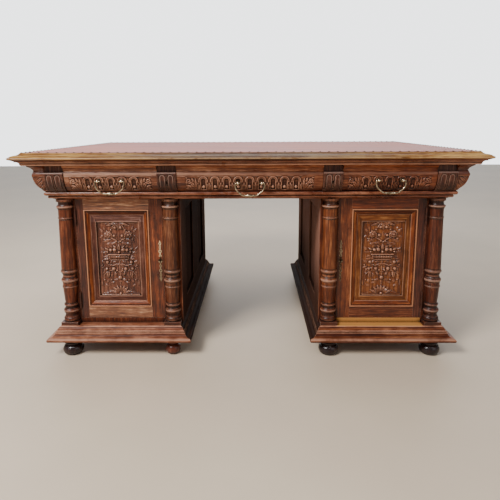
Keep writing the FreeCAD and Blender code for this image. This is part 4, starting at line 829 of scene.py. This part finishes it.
def carving_grid(steps_across, steps_up):
    """A grid of points, with the column and the row of each."""
    bm = bmesh.new()
    bmesh.ops.create_grid(bm, x_segments=steps_across, y_segments=steps_up, size=1.0)
    share = (np.array([vertex.co for vertex in bm.verts]) + 1) / 2
    return bm, np.rint(share[:, 0] * steps_across).astype(int), np.rint(share[:, 1] * steps_up).astype(int)


def set_points(bm, points, carving):
    """Moves a grid's points, and notes for the finishes where the carving is high and low."""
    noted = bm.verts.layers.float.new("carving")
    for vertex, point, value in zip(bm.verts, points, carving):
        vertex.co = point
        vertex[noted] = value


def open_edges(bm):
    return [edge for edge in bm.edges if edge.is_boundary]


def closed_mesh(bm, name):
    bmesh.ops.holes_fill(bm, edges=open_edges(bm), sides=0)
    bmesh.ops.recalc_face_normals(bm, faces=bm.faces)
    return mesh_from(bm, name)


def ridges(height, row, column, low=-1.0):
    """0 in grooves, 0.5 on plain ground and 1 on ridges, for heights at the points of a grid.

    Ground below low counts as a groove as well.
    """
    # The finishes paint grooves with grime and shade, and ridges with wear and highlights.
    grid = np.zeros((row.max() + 1, column.max() + 1))
    grid[row, column] = height
    around = grid
    shifts = range(-RIDGE_REACH, RIDGE_REACH + 1)
    for axis in (0, 1):
        around = sum(np.roll(around, shift, axis) for shift in shifts) / len(shifts)
    shown = 0.5 + (grid - around) / (2 * RIDGE_HEIGHT) + np.minimum(grid - low, 0.0) / GROOVE_DEPTH
    return np.clip(shown, 0.0, 1.0)[row, column]


def arc_points(start, end, sag, steps):
    """Points along an arc after its start; it swells by sag to the left of its chord."""
    start, end = np.array(start), np.array(end)
    chord = end - start
    span = math.hypot(*chord)
    left = np.array((-chord[1], chord[0])) / span
    radius = (span ** 2 / 4 + sag ** 2) / (2 * abs(sag))
    half = math.asin(min(1.0, span / (2 * radius)))
    centre = (start + end) / 2 + left * math.copysign(radius - abs(sag), -sag)
    points = []
    for step in range(1, steps + 1):
        turn = half * (2 * step / steps - 1)
        outwards = left * math.copysign(math.cos(turn), sag) + chord / span * math.sin(turn)
        points.append(tuple(centre + outwards * radius))
    return points


def frieze_outline(low, high, back):
    """The closed section of a drawer front or an end board, as (inset, height) from its back foot."""
    outline = [(back, low), (back, high), (CYMA_INSET, high), (CYMA_INSET, CORNICE_FOOT - CYMA_LIP)]
    outline += arc_points(outline[-1], (NECK_INSET, CORNICE_FOOT - NECK_DROP), CYMA_HOLLOW, 10)
    outline.append((NECK_INSET, CORNICE_FOOT - NECK_FOOT_DROP))
    for inset, height, swell, steps in (
            (BULGE_INSET, CORNICE_FOOT - BULGE_DROP, BULGE_SWELL, 10),
            (SHOULDER_INSET, CORNICE_FOOT - SHOULDER_DROP, SHOULDER_SWELL, 18),
            (FOOT_INSET, low, BELLY_SWELL, 38)):
        outline += arc_points(outline[-1], (inset, height), -swell, steps)
    return np.array(outline + outline[:1])


def carved_bar(outline, columns, plan, relief):
    """A closed bar with the outline's section, its face carved; plan gives x and y for columns and insets."""
    bm, column, row = carving_grid(len(columns) - 1, len(outline) - 1)
    along = np.array(columns)[column]
    inset, height = outline[row, 0], outline[row, 1]
    slope = np.gradient(outline, axis=0)
    slope /= np.linalg.norm(slope, axis=1)[:, None]
    face = (height > BAND_LOW) & (height < BAND_HIGH) & (inset < FOOT_INSET)
    rise = np.where(face, relief(along, inset, height), 0.0)
    points = np.column_stack((*plan(along, inset + rise * slope[row, 1]), height - rise * slope[row, 0]))
    set_points(bm, points, ridges(rise, row, column, -FRIEZE_GROUND))
    bmesh.ops.remove_doubles(bm, verts=bm.verts, dist=0.01 * MM)
    return closed_mesh(bm, "carved_bar")


# ================================================ carving
# The functions below give heights over the uncarved face, for arrays of points.
def round_top(distance, radius):
    """1 in the middle of a rounded form, 0 from its edge on."""
    return np.sqrt(np.clip(1 - (distance / radius) ** 2, 0, 1))


def arcade(sizes, along, height, count):
    """A row of arches: a niche with a pearl in each, reeds between, and sunk corners above."""
    spacing, half, ground = sizes.arch_spacing, sizes.arch_half, sizes.ground_depth
    across = np.abs((along + count * spacing / 2) % spacing - spacing / 2)
    between = spacing / 2 - across
    reach = np.hypot(across, np.maximum(height - ARCH_HEAD, 0.0))
    shoulder = height > ARCH_SPRING
    arch = shoulder & (reach < ARCH_REACH)
    rise = np.where(arch, -ARCH_RISE, -ground)
    rise = np.where(shoulder & ~arch, -ground - CORNER_SINK, rise)
    rim = round_top(reach - half - NICHE_RIM_HALF, NICHE_RIM_HALF)
    hood = shoulder * round_top(reach - ARCH_REACH + HOOD_HALF, HOOD_HALF)
    for lip, above in ((rim, 0.0), (hood, ARCH_RISE)):
        rise = np.maximum(rise, -ground + (ground + above) * lip * (lip > 0.05))
    for offset, end in REEDS:
        reed = round_top(between - offset, REED_HALF) * (height < ARCH_HEAD - end)
        rise = np.maximum(rise, -ground + (ground - REED_DROP) * reed)
    niche = (reach < half) & (height > ARCH_FOOT)
    rise = np.where(niche, -sizes.niche_depth * np.sqrt(np.clip(1 - (reach / half) ** 6, 0, 1)), rise)
    pearl = round_top(np.hypot(across, height - PEARL_Z), PEARL_RADIUS)
    rise = np.where(pearl > 0, np.maximum(rise, PEARL_RISE * pearl - PEARL_BED), rise)
    plain = (height > BAND_HIGH - BAND_RAIL) | (height < BAND_LOW + BAND_RAIL)
    return np.where(plain | (np.abs(along) > count * spacing / 2), 0.0, rise)


def leaf(across, up, root, tip, width, rise, lobes=0):
    """One carved leaf from its root to its tip, with a sunk vein; zero outside it."""
    (x0, z0), (x1, z1) = root, tip
    span = math.hypot(x1 - x0, z1 - z0)
    way = ((x1 - x0) / span, (z1 - z0) / span)
    share = ((across - x0) * way[0] + (up - z0) * way[1]) / span
    aside = np.abs((up - z0) * way[0] - (across - x0) * way[1])
    inside = (share > 0) & (share < 1)
    safe = np.clip(share, 0, 1)
    half = width / 2 * np.sin(math.pi * safe ** 0.8) ** 0.7
    if lobes:
        half = half * (0.74 + 0.26 * np.abs(np.cos(math.pi * lobes * safe)))
    edge = np.clip(1 - (aside / np.maximum(half, 1e-6)) ** 2, 0, 1)
    vein = np.exp(-(aside / (0.09 * width)) ** 2)
    height = rise * (0.45 + 0.55 * np.sin(math.pi * safe)) * np.sqrt(edge) * (1 - 0.45 * vein)
    return np.where(inside, height, 0.0)


def stem(across, up, points, radius, rise):
    """A rounded band that follows a line of points."""
    nearest = np.full_like(across, 1.0)
    for (x0, z0), (x1, z1) in zip(points, points[1:]):
        run = np.array((x1 - x0, z1 - z0))
        share = np.clip(((across - x0) * run[0] + (up - z0) * run[1]) / (run @ run), 0, 1)
        nearest = np.minimum(nearest, np.hypot(across - x0 - share * run[0], up - z0 - share * run[1]))
    return rise * round_top(nearest, radius)


def curl(centre, start_radius, end_radius, start_turn, turns, steps=26):
    """Points of a spiral round a centre; turns are in whole rounds."""
    points = []
    for step in range(steps + 1):
        turn = 2 * math.pi * (start_turn + turns * step / steps)
        radius = start_radius + (end_radius - start_radius) * step / steps
        points.append((centre[0] + radius * math.cos(turn), centre[1] + radius * math.sin(turn)))
    return points


# Leaves are (root across, root up, tip across, tip up, width, lobes) in millimetres: here from the spray's
# middle, outwards and up.
SPRAY_LEAVES = (
    (-17, -22, 4, 8, 15, 5), (-17, -20, -15, 20, 10, 3), (-8, -20, 19, -6, 12, 4), (2, -12, 19, -21, 8, 2),
    (-10, 2, -2, 21, 9, 3), (12, -2, 20, 6, 7, 2), (10, 18, 20, 22, 6, 2))
# Places of the door carving, in millimetres from the middle of the carved field's foot.
BERRIES = (
    (10.7, 268, 6.5), (15, 236, 5.5), (39, 240, 7), (16, 181, 8), (31, 180, 6.5), (0, 172, 5), (46, 132, 6.5),
    (49, 106, 6.5), (23, 106, 7.5), (0, 71, 8), (27, 258, 3.5), (54, 222, 3.5), (8, 214, 4), (44, 172, 4),
    (66, 120, 3.5), (34, 120, 3.5), (10, 100, 4), (60, 62, 3.5), (34, 62, 3.5), (0, 9, 6))
BOLD_LEAVES = (
    # drooping at the head, round the rosettes, on the urn
    (0, 288, 0, 256, 12, 0), (3, 288, 24, 262, 13, 3), (5, 288, 44, 274, 11, 3), (22, 226, 30, 252, 8, 2),
    (0, 178, 0, 202, 11, 0), (8, 186, 22, 198, 8, 2), (38, 178, 54, 188, 9, 2),
    # hanging at the sides, and the fan at the foot
    (43, 98, 47, 68, 15, 4), (20, 92, 12, 78, 9, 2), (0, 8, 0, 40, 11, 0), (3, 8, 14, 38, 12, 3),
    (5, 8, 28, 32, 13, 3), (8, 7, 42, 22, 11, 3))
LOW_LEAVES = (
    (8, 288, 64, 282, 9, 3), (0, 214, 0, 252, 10, 0), (3, 216, 12, 246, 8, 3), (56, 248, 70, 262, 9, 3),
    (58, 236, 72, 226, 9, 3), (28, 222, 62, 210, 11, 3), (6, 210, 36, 200, 10, 3), (50, 256, 56, 270, 8, 2),
    (46, 168, 70, 172, 8, 3), (26, 188, 40, 206, 9, 3), (56, 176, 72, 192, 9, 3), (30, 206, 50, 200, 9, 3),
    (40, 156, 62, 152, 8, 2), (36, 146, 64, 142, 9, 3), (6, 136, 30, 130, 9, 3), (28, 138, 40, 122, 8, 2),
    (54, 128, 70, 138, 9, 3), (2, 122, 16, 116, 8, 2), (56, 116, 72, 108, 8, 3), (36, 112, 40, 94, 9, 3),
    (12, 108, 2, 90, 8, 2), (56, 100, 66, 84, 9, 3), (30, 90, 34, 70, 9, 3), (64, 88, 62, 48, 11, 4),
    (8, 64, 28, 58, 9, 3), (46, 64, 50, 48, 10, 3), (20, 52, 38, 50, 7, 2), (0, 62, 0, 48, 9, 0),
    (9, 6, 56, 15, 11, 3), (12, 4, 70, 8, 9, 3), (60, 44, 44, 34, 9, 3), (72, 60, 70, 36, 8, 3))
STEMS = (
    # half the width, the share of the full relief, and the line
    (3.0, 1.0, ((0, 162), (41, 162))), (2.0, 0.5, ((0, 141), (30, 141), (38, 147))),
    (2.4, 0.25, ((0, 140), (0, 92))), (2.2, 0.35, ((0, 208), (10, 218), (26, 226), (38, 232))),
    (2.2, 0.35, ((0, 124), (12, 124), (26, 118), (36, 122), (46, 124))),
    (2.2, 0.35, ((0, 92), (10, 96), (22, 96), (34, 100), (42, 96), (52, 96), (60, 104))),
    (2.0, 0.3, ((52, 90), (62, 82), (64, 66))), (2.2, 0.25, ((0, 90), (0, 44))),
    (2.2, 0.8, ((0, 3.5), (72, 3.5))))
ROSETTE = (39, 240)
PETALS = 7
PETAL_LENGTH = 16
GADROONS = 6                      # bulging flutes on half of the urn
GADROON_WIDTH = 6.8


def leaves_at(across, up, leaves, rise, middle=0.0, level=0.0):
    """The heights of several leaves, one array for each."""
    return [leaf(across, up, (middle + x0 * MM, level + z0 * MM), (middle + x1 * MM, level + z1 * MM),
                 width * MM, rise, lobes) for x0, z0, x1, z1, width, lobes in leaves]


def leaf_spray(across, height, near, far):
    """A curled acanthus leaf between two places along the frieze."""
    middle, level = (near + far) / 2, (BAND_LOW + BAND_HIGH) / 2
    line = curl((middle + 8 * MM, level + 9 * MM), 9 * MM, 2 * MM, -0.4, 1.3)
    volute = stem(across, height, line, 2.3 * MM, SPRAY_RISE * 0.9)
    return np.maximum.reduce([volute] + leaves_at(across, height, SPRAY_LEAVES, SPRAY_RISE, middle, level))


def corner_leaf(reach, height):
    """A tall acanthus leaf that wraps a corner; reach is the distance from the mitre."""
    leaves = [(0.0, 0.0, 0.0, (BAND_HIGH - BAND_LOW) / MM + 14, 16, 0)]
    for level, span in ((3, 30), (15, 36), (27, 36), (39, 30)):
        leaves.append((0.0, level, span * 0.88, level + span * 0.62, 12, 4))
    return np.maximum.reduce(leaves_at(reach, height, leaves, CORNER_LEAF_RISE, 0.0, BAND_LOW))


def panel_relief(across, up, rise):
    """The door carving: a candelabrum of leaves, fruit, an urn, scrolls and an acanthus fan.

    Across and up are measured from the middle of the carved field's foot.
    """
    side = np.abs(across)
    parts = [rise * min(1.1, radius / 5) * round_top(np.hypot(side - x * MM, up - z * MM), radius * MM)
             for x, z, radius in BERRIES]
    parts += leaves_at(side, up, BOLD_LEAVES, rise * 0.8)
    parts += leaves_at(side, up, LOW_LEAVES, rise * 0.32)
    turns = [2 * math.pi * petal / PETALS + 0.4 for petal in range(PETALS)]
    tips = [(ROSETTE[0] + PETAL_LENGTH * math.cos(turn), ROSETTE[1] + PETAL_LENGTH * math.sin(turn))
            for turn in turns]
    parts += leaves_at(side, up, [(*ROSETTE, *tip, 12, 0) for tip in tips], rise * 0.85)
    flutes = [GADROON_WIDTH * (number + 0.5) for number in range(GADROONS)]
    parts += leaves_at(side, up, [(x, 159, x * 0.85, 143, 7, 0) for x in flutes], rise * 0.95)
    for radius, share, line in STEMS:
        parts.append(stem(side, up, [(x * MM, z * MM) for x, z in line], radius * MM, rise * share))
    return np.maximum.reduce(parts)


def drawer_relief(sizes, count, leaf_end):
    """A drawer front: arches in the middle, a leaf spray at each end, plain margins."""
    start = count * sizes.arch_spacing / 2

    def relief(along, inset, height):
        reach = np.abs(along)
        border = np.minimum(leaf_end - reach, np.minimum(BAND_HIGH - height, height - BAND_LOW))
        spray = np.minimum(leaf_spray(reach, height, start, leaf_end), SPRAY_TOP)
        spray = spray * np.clip(border / SPRAY_FADE, 0, 1)
        spray = spray - sizes.ground_depth * np.clip(border / GROUND_FADE, 0, 1)
        in_spray = (reach >= start) & (reach < leaf_end)
        return np.where(in_spray, spray, arcade(sizes, along, height, count))
    return relief


def round_the_end(along):
    """Shares for places along an end board, which run from 0 to 3: front return, end, back return.

    The first is -1 at the front and 1 at the back, the second 0 on the end and 1 where a return stops.
    """
    return np.clip(2 * along - 3, -1, 1), np.clip(np.abs(along - 1.5) - 0.5, 0, 1)


def end_plan(side_x, along, inset):
    """X and y of places along an end board."""
    backwards, returned = round_the_end(along)
    tip_x = HALF_WIDTH - inset
    x = tip_x - np.maximum(tip_x - RETURN_START_X, 0.0) * returned
    return side_x * x, (HALF_DEPTH - inset) * backwards


def end_relief(sizes, count):
    """An end board: arches along the end, a tall leaf round each corner."""
    def relief(along, inset, height):
        backwards, returned = round_the_end(along)
        middle = (HALF_DEPTH - inset) * backwards
        reach = HALF_DEPTH - inset - np.abs(middle) + (HALF_WIDTH - inset - RETURN_START_X) * returned
        sunk = (height > BAND_LOW + BAND_RAIL) & (height < BAND_HIGH - BAND_RAIL)
        ground = np.where(sunk, -sizes.ground_depth, 0.0)
        corner = np.maximum(ground, corner_leaf(reach, height) - sizes.ground_depth)
        in_arches = np.abs(middle) <= count * sizes.arch_spacing / 2
        return np.where(in_arches, arcade(sizes, middle, height, count), corner)
    return relief


# ================================================ operators
END_PITCH = 1.4                   # pitch of the mesh along an end, against that of a drawer front
LAMPS = (
    # place, size in metres and power in watts
    ("key_light", (-2.0, -2.4, 2.9), 1.3, 210.0),
    ("fill_light", (2.4, -2.2, 1.6), 2.0, 16.0),
    ("top_light", (0.0, 0.9, 3.2), 2.4, 50.0))
LAMP_AIM = Vector((0.0, 0.0, 0.45))
SKY = (0.86, 0.88, 0.90)


def each(places, part):
    """Names of the nodes of a part that stands at the same places on both long sides."""
    return [side + "_" + place + part for side in SIDES for place in places]


def dress(node, material):
    """Gives a CAD node its material."""
    mesh_object = frame["nodes"][node]
    if not mesh_object.data.materials:
        mesh_object.data.materials.append(material)
    for slot in mesh_object.material_slots:
        slot.link = "OBJECT"
        slot.material = material


class DESK_OT_frame_finish(bpy.types.Operator):
    """Dress the parts of the fixed frame that keep their own shape"""
    bl_idname = "desk.frame_finish"
    bl_label = "Frame finishes"

    def execute(self, context):
        colours = context.scene.desk_colours
        dressed = [(nodes, oak(name, colours, grain, **rest)) for nodes, name, grain, rest in self.woods()]
        dressed += [
            (["frieze_frame", "frieze_floor", "drawer_runners"] + each(DRAWERS, "_drawer_box"),
             lining_oak(colours)),
            (each(DRAWERS, "_handle_posts"), old_brass("post_brass", colours, 0.85, 160.0, post_tarnish)),
            (each(DRAWERS, "_bail"), old_brass("bail_brass", colours, 0.52, 110.0)),
            (each(["left"], "_door_escutcheon"),
             old_brass("bright_escutcheon", colours, 0.75, 260.0, escutcheon_tarnish, (0.40, 0.58))),
            (each(["right"], "_door_escutcheon"),
             old_brass("dark_escutcheon", colours, 0.52, 260.0, escutcheon_tarnish, (0.40, 0.60))),
            (["hinge_leaves", "hinge_pins"] + each(HANDS, "_door_ironwork"), stained_hinges()),
            (["bracket_locks"], old_steel()),
            (["leather_nails"], old_brass("nail_brass", colours, 0.1, 60.0)),
            (["leather_top"], leather_finish(colours))]
        for nodes, material in dressed:
            for node in nodes:
                dress(node, material)
        return {"FINISHED"}

    @staticmethod
    def woods():
        """Stained woods: their nodes, name, grain and the rest that oak() asks for."""
        painted_knee_shade = (knee_face, knee_face_shade)
        return (
            (["top_slab"], "edge_oak", grain_round_the_top,
             dict(tone=0.62, wear=0.9, grime_and_shade=0.8, shine=0.38, tint=edge_tint, gloss=0.25)),
            (["upper_cornice"], "cornice_oak", grain_round_the_top,
             dict(tone=0.68, wear=1.1, shine=0.32, tint=cornice_tint)),
            (["waist_moulding"], "waist_oak", grain_round_the_top,
             dict(tone=0.58, wear=1.2, shine=0.30, tint=moulding_tint)),
            (["frieze_brackets"], "bracket_oak", "z",
             dict(tone=0.45, wear=0.9, grime_and_shade=0.7, shine=0.40, tint=bracket_tint, reach=8, gloss=0.3)),
            (["columns"], "column_oak", "z", dict(wear=0.8, tint=column_tint, reach=30, gloss=0.32)),
            (["column_blocks"], "block_oak", "x", dict(tone=0.3, wear=0.8)),
            (["plinths"], "plinth_oak", grain_round_the_top,
             dict(tone=0.55, wear=1.2, grime_and_shade=0.9, shine=0.50, tint=plinth_tint, gloss=0.18,
                  matt=(knee_plinth, knee_plinth_shadow))),
            (["bun_feet"], "foot_wood", "z", dict(tone=0.4, wear=0.3, grime_and_shade=0.7, shine=0.22, tint=foot_tint)),
            (["pedestal_boards"], "board_oak", "z",
             dict(tone=0.42, wear=0.6, shine=0.60, reach=30, gloss=0.1, matt=painted_knee_shade)),
            ([hand + "_pedestal_frame" for hand in HANDS], "pedestal_oak", pedestal_grain,
             dict(tone=0.42, wear=0.9, shine=0.55, tint=pedestal_tint, reach=22, gloss=0.15, matt=painted_knee_shade)),
            (each(HANDS, "_door_frame"), "door_oak", door_grain, dict(tone=0.42, shine=0.33, tint=door_tint)),
            (each(HANDS, "_door_panel"), "panel_oak", panel_grain,
             dict(tone=0.45, wear=0.9, shine=0.42, tint=panel_tint, reach=14, gloss=0.2)))


class DESK_OT_drawer_fronts(bpy.types.Operator):
    """Carve the six drawer fronts"""
    bl_idname = "desk.drawer_fronts"
    bl_label = "Carved drawer fronts"

    def execute(self, context):
        sizes = context.scene.desk_carving
        material = oak("frieze_oak", context.scene.desk_colours, "x", tone=0.54, wear=frieze_wear, grime_and_shade=0.85,
                       shine=0.34, tint=frieze_tint, relief=True, gloss=0.3)
        outline = frieze_outline(DRAWER_LOW.z, DRAWER_HIGH.z, DRAWER_BACK_INSET)
        for side, facing in SIDES.items():
            for place in DRAWERS:
                node = side + "_" + place + "_drawer_front"
                low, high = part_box(node)
                centre, half = (low.x + high.x) / 2, (high.x - low.x) / 2
                columns = np.linspace(-half, half, round(2 * half / sizes.mesh_pitch) + 1)
                count = sizes.centre_arches if place == "centre" else sizes.side_arches
                mesh = carved_bar(
                    outline, columns,
                    lambda along, inset: (centre - facing * along, facing * (HALF_DEPTH - inset)),
                    drawer_relief(sizes, count, DRAWER_LEAF_END[place]))
                body = frame["nodes"][node]["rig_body"]
                piece = carved_piece(side + "_" + place + "_carved_front", mesh, body, material)
                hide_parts(node)
        return {"FINISHED"}


class DESK_OT_end_boards(bpy.types.Operator):
    """Carve the two end boards of the frieze, with a leaf round each corner"""
    bl_idname = "desk.end_boards"
    bl_label = "Carved end boards"

    def execute(self, context):
        sizes = context.scene.desk_carving
        material = oak("end_board_oak", context.scene.desk_colours, grain_round_the_top, wear=0.9, shine=0.33,
                       relief=True)
        outline = frieze_outline(FRIEZE_FOOT, CORNICE_FOOT, BOARD_BACK_INSET)
        on_return = np.arange(0, 1, 1 / round(RETURN_LENGTH / sizes.mesh_pitch))
        on_end = np.arange(0, 1, 1 / round(2 * HALF_DEPTH / (sizes.mesh_pitch * END_PITCH)))
        columns = np.concatenate((on_return, 1 + on_end, 2 + on_return, [3]))
        for hand, side_x in HANDS.items():
            mesh = carved_bar(outline, columns, lambda along, inset: end_plan(side_x, along, inset),
                              end_relief(sizes, sizes.end_arches))
            piece = carved_piece(hand + "_carved_end", mesh, "root", material)
            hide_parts("frieze_end_boards")
        return {"FINISHED"}


class DESK_OT_door_carvings(bpy.types.Operator):
    """Carve the fields of the four doors"""
    bl_idname = "desk.door_carvings"
    bl_label = "Door carvings"

    def execute(self, context):
        material = oak("carved_panel_oak", context.scene.desk_colours, "z", tone=0.47, wear=0.8, grime_and_shade=0.95,
                       shine=0.24, tint=field_tint, relief=True)
        for side, facing in SIDES.items():
            for hand, side_x in HANDS.items():
                door = side + "_" + hand + "_door"
                mesh = self.field(context.scene.desk_carving, side_x * DOOR_CENTRE_X, facing)
                carved_piece(door + "_carving", mesh, door, material)
        return {"FINISHED"}

    @staticmethod
    def field(sizes, centre_x, facing):
        """A carved skin over one field, with a skirt that goes into its ground."""
        pitch = sizes.mesh_pitch * FIELD_PITCH
        steps_x, steps_z = round(2 * FIELD_HALF_X / pitch), round(2 * FIELD_HALF_Z / pitch)
        bm, column, row = carving_grid(steps_x, steps_z)
        across = (2 * column / steps_x - 1) * FIELD_HALF_X
        up = 2 * row / steps_z * FIELD_HALF_Z
        border = np.minimum(FIELD_HALF_X - np.abs(across), np.minimum(up, 2 * FIELD_HALF_Z - up))
        border = np.clip(border / FIELD_EDGE, 0, 1)
        rise = panel_relief(across, up, sizes.panel_rise) * border + FIELD_LAP
        points = np.stack((centre_x - facing * across, facing * (FIELD_GROUND + rise),
                           FIELD_CENTRE_Z - FIELD_HALF_Z + up), axis=1)
        # The carving attribute falls to 0 along the field's border: grime and painted shade in the groove
        # round it.
        set_points(bm, points, np.minimum(ridges(rise, row, column), border))
        for part in bmesh.ops.extrude_edge_only(bm, edges=open_edges(bm))["geom"]:
            if isinstance(part, bmesh.types.BMVert):
                part.co.y = facing * (FIELD_GROUND - FIELD_LAP)
        return closed_mesh(bm, "door_carving")


class DESK_OT_stage(bpy.types.Operator):
    """Set up the floor, the light and the camera"""
    bl_idname = "desk.stage"
    bl_label = "Stage"

    def execute(self, context):
        self.floor(context.scene.desk_stage)
        self.sky(context)
        for name, place, size, power in LAMPS:
            self.lamp(name, Vector(place), size, power)
        self.camera(context, context.scene.desk_stage)
        return {"FINISHED"}

    def floor(self, settings):
        bm = bmesh.new()
        bmesh.ops.create_grid(bm, x_segments=8, y_segments=8, size=8.0)
        mesh = mesh_from(bm, "floor")
        mesh.materials.append(floor_finish(settings))
        in_scene("floor", mesh)

    def sky(self, context):
        """A pale sky, brightest low down behind the desk."""
        recipe = Recipe(bpy.data.worlds.new("studio"), coordinates="Generated")
        strength = recipe.node("ShaderNodeMapRange", {
            "Value": recipe.y, "From Min": 0.68, "From Max": 0.85, "To Min": 0.3, "To Max": 3.4})
        sky = recipe.node("ShaderNodeBackground", {"Color": SKY, "Strength": strength})
        recipe.node("ShaderNodeOutputWorld", {"Surface": sky})
        context.scene.world = recipe.owner

    def lamp(self, name, place, size, power):
        light = bpy.data.lights.new(name, "AREA")
        light.shape = "SQUARE"
        light.size = size
        light.energy = power
        lamp = in_scene(name, light)
        lamp.location = place
        lamp.rotation_euler = (LAMP_AIM - place).to_track_quat("-Z", "Y").to_euler()

    def camera(self, context, settings):
        camera = bpy.data.cameras.new("camera")
        camera.sensor_width = 36.0
        camera.lens = settings.lens
        camera.shift_y = settings.shift
        holder = in_scene("camera", camera)
        turn = (Matrix.Rotation(-settings.yaw, 4, "Z") @ Matrix.Rotation(math.pi / 2 - settings.pitch, 4, "X")
                @ Matrix.Rotation(settings.roll, 4, "Z"))
        holder.matrix_world = Matrix.Translation(settings.camera_place) @ turn
        context.scene.camera = holder


class DESK_PT_panel(bpy.types.Panel):
    """Pieces and finishes of the desk"""
    bl_idname = "DESK_PT_panel"
    bl_label = "Partners desk"
    bl_space_type = "VIEW_3D"
    bl_region_type = "UI"
    bl_category = "Desk"

    def draw(self, context):
        for operator in OPERATORS:
            self.layout.operator(operator.bl_idname)
        for group in (context.scene.desk_carving, context.scene.desk_colours, context.scene.desk_stage):
            box = self.layout.box()
            for name in group.__annotations__:
                box.prop(group, name)


OPERATORS = (DESK_OT_frame_finish, DESK_OT_drawer_fronts, DESK_OT_end_boards, DESK_OT_door_carvings,
             DESK_OT_stage)
CLASSES = (CarvingSizes, FinishColours, StageSettings, *OPERATORS, DESK_PT_panel)


def register():
    for cls in CLASSES:
        bpy.utils.register_class(cls)
    bpy.types.Scene.desk_carving = PointerProperty(type=CarvingSizes)
    bpy.types.Scene.desk_colours = PointerProperty(type=FinishColours)
    bpy.types.Scene.desk_stage = PointerProperty(type=StageSettings)


def unregister():
    del bpy.types.Scene.desk_stage
    del bpy.types.Scene.desk_colours
    del bpy.types.Scene.desk_carving
    for cls in reversed(CLASSES):
        bpy.utils.unregister_class(cls)


def main():
    register()
    bpy.ops.desk.frame_finish()
    bpy.ops.desk.drawer_fronts()
    bpy.ops.desk.end_boards()
    bpy.ops.desk.door_carvings()
    bpy.ops.desk.stage()


if __name__ == "__main__":
    main()
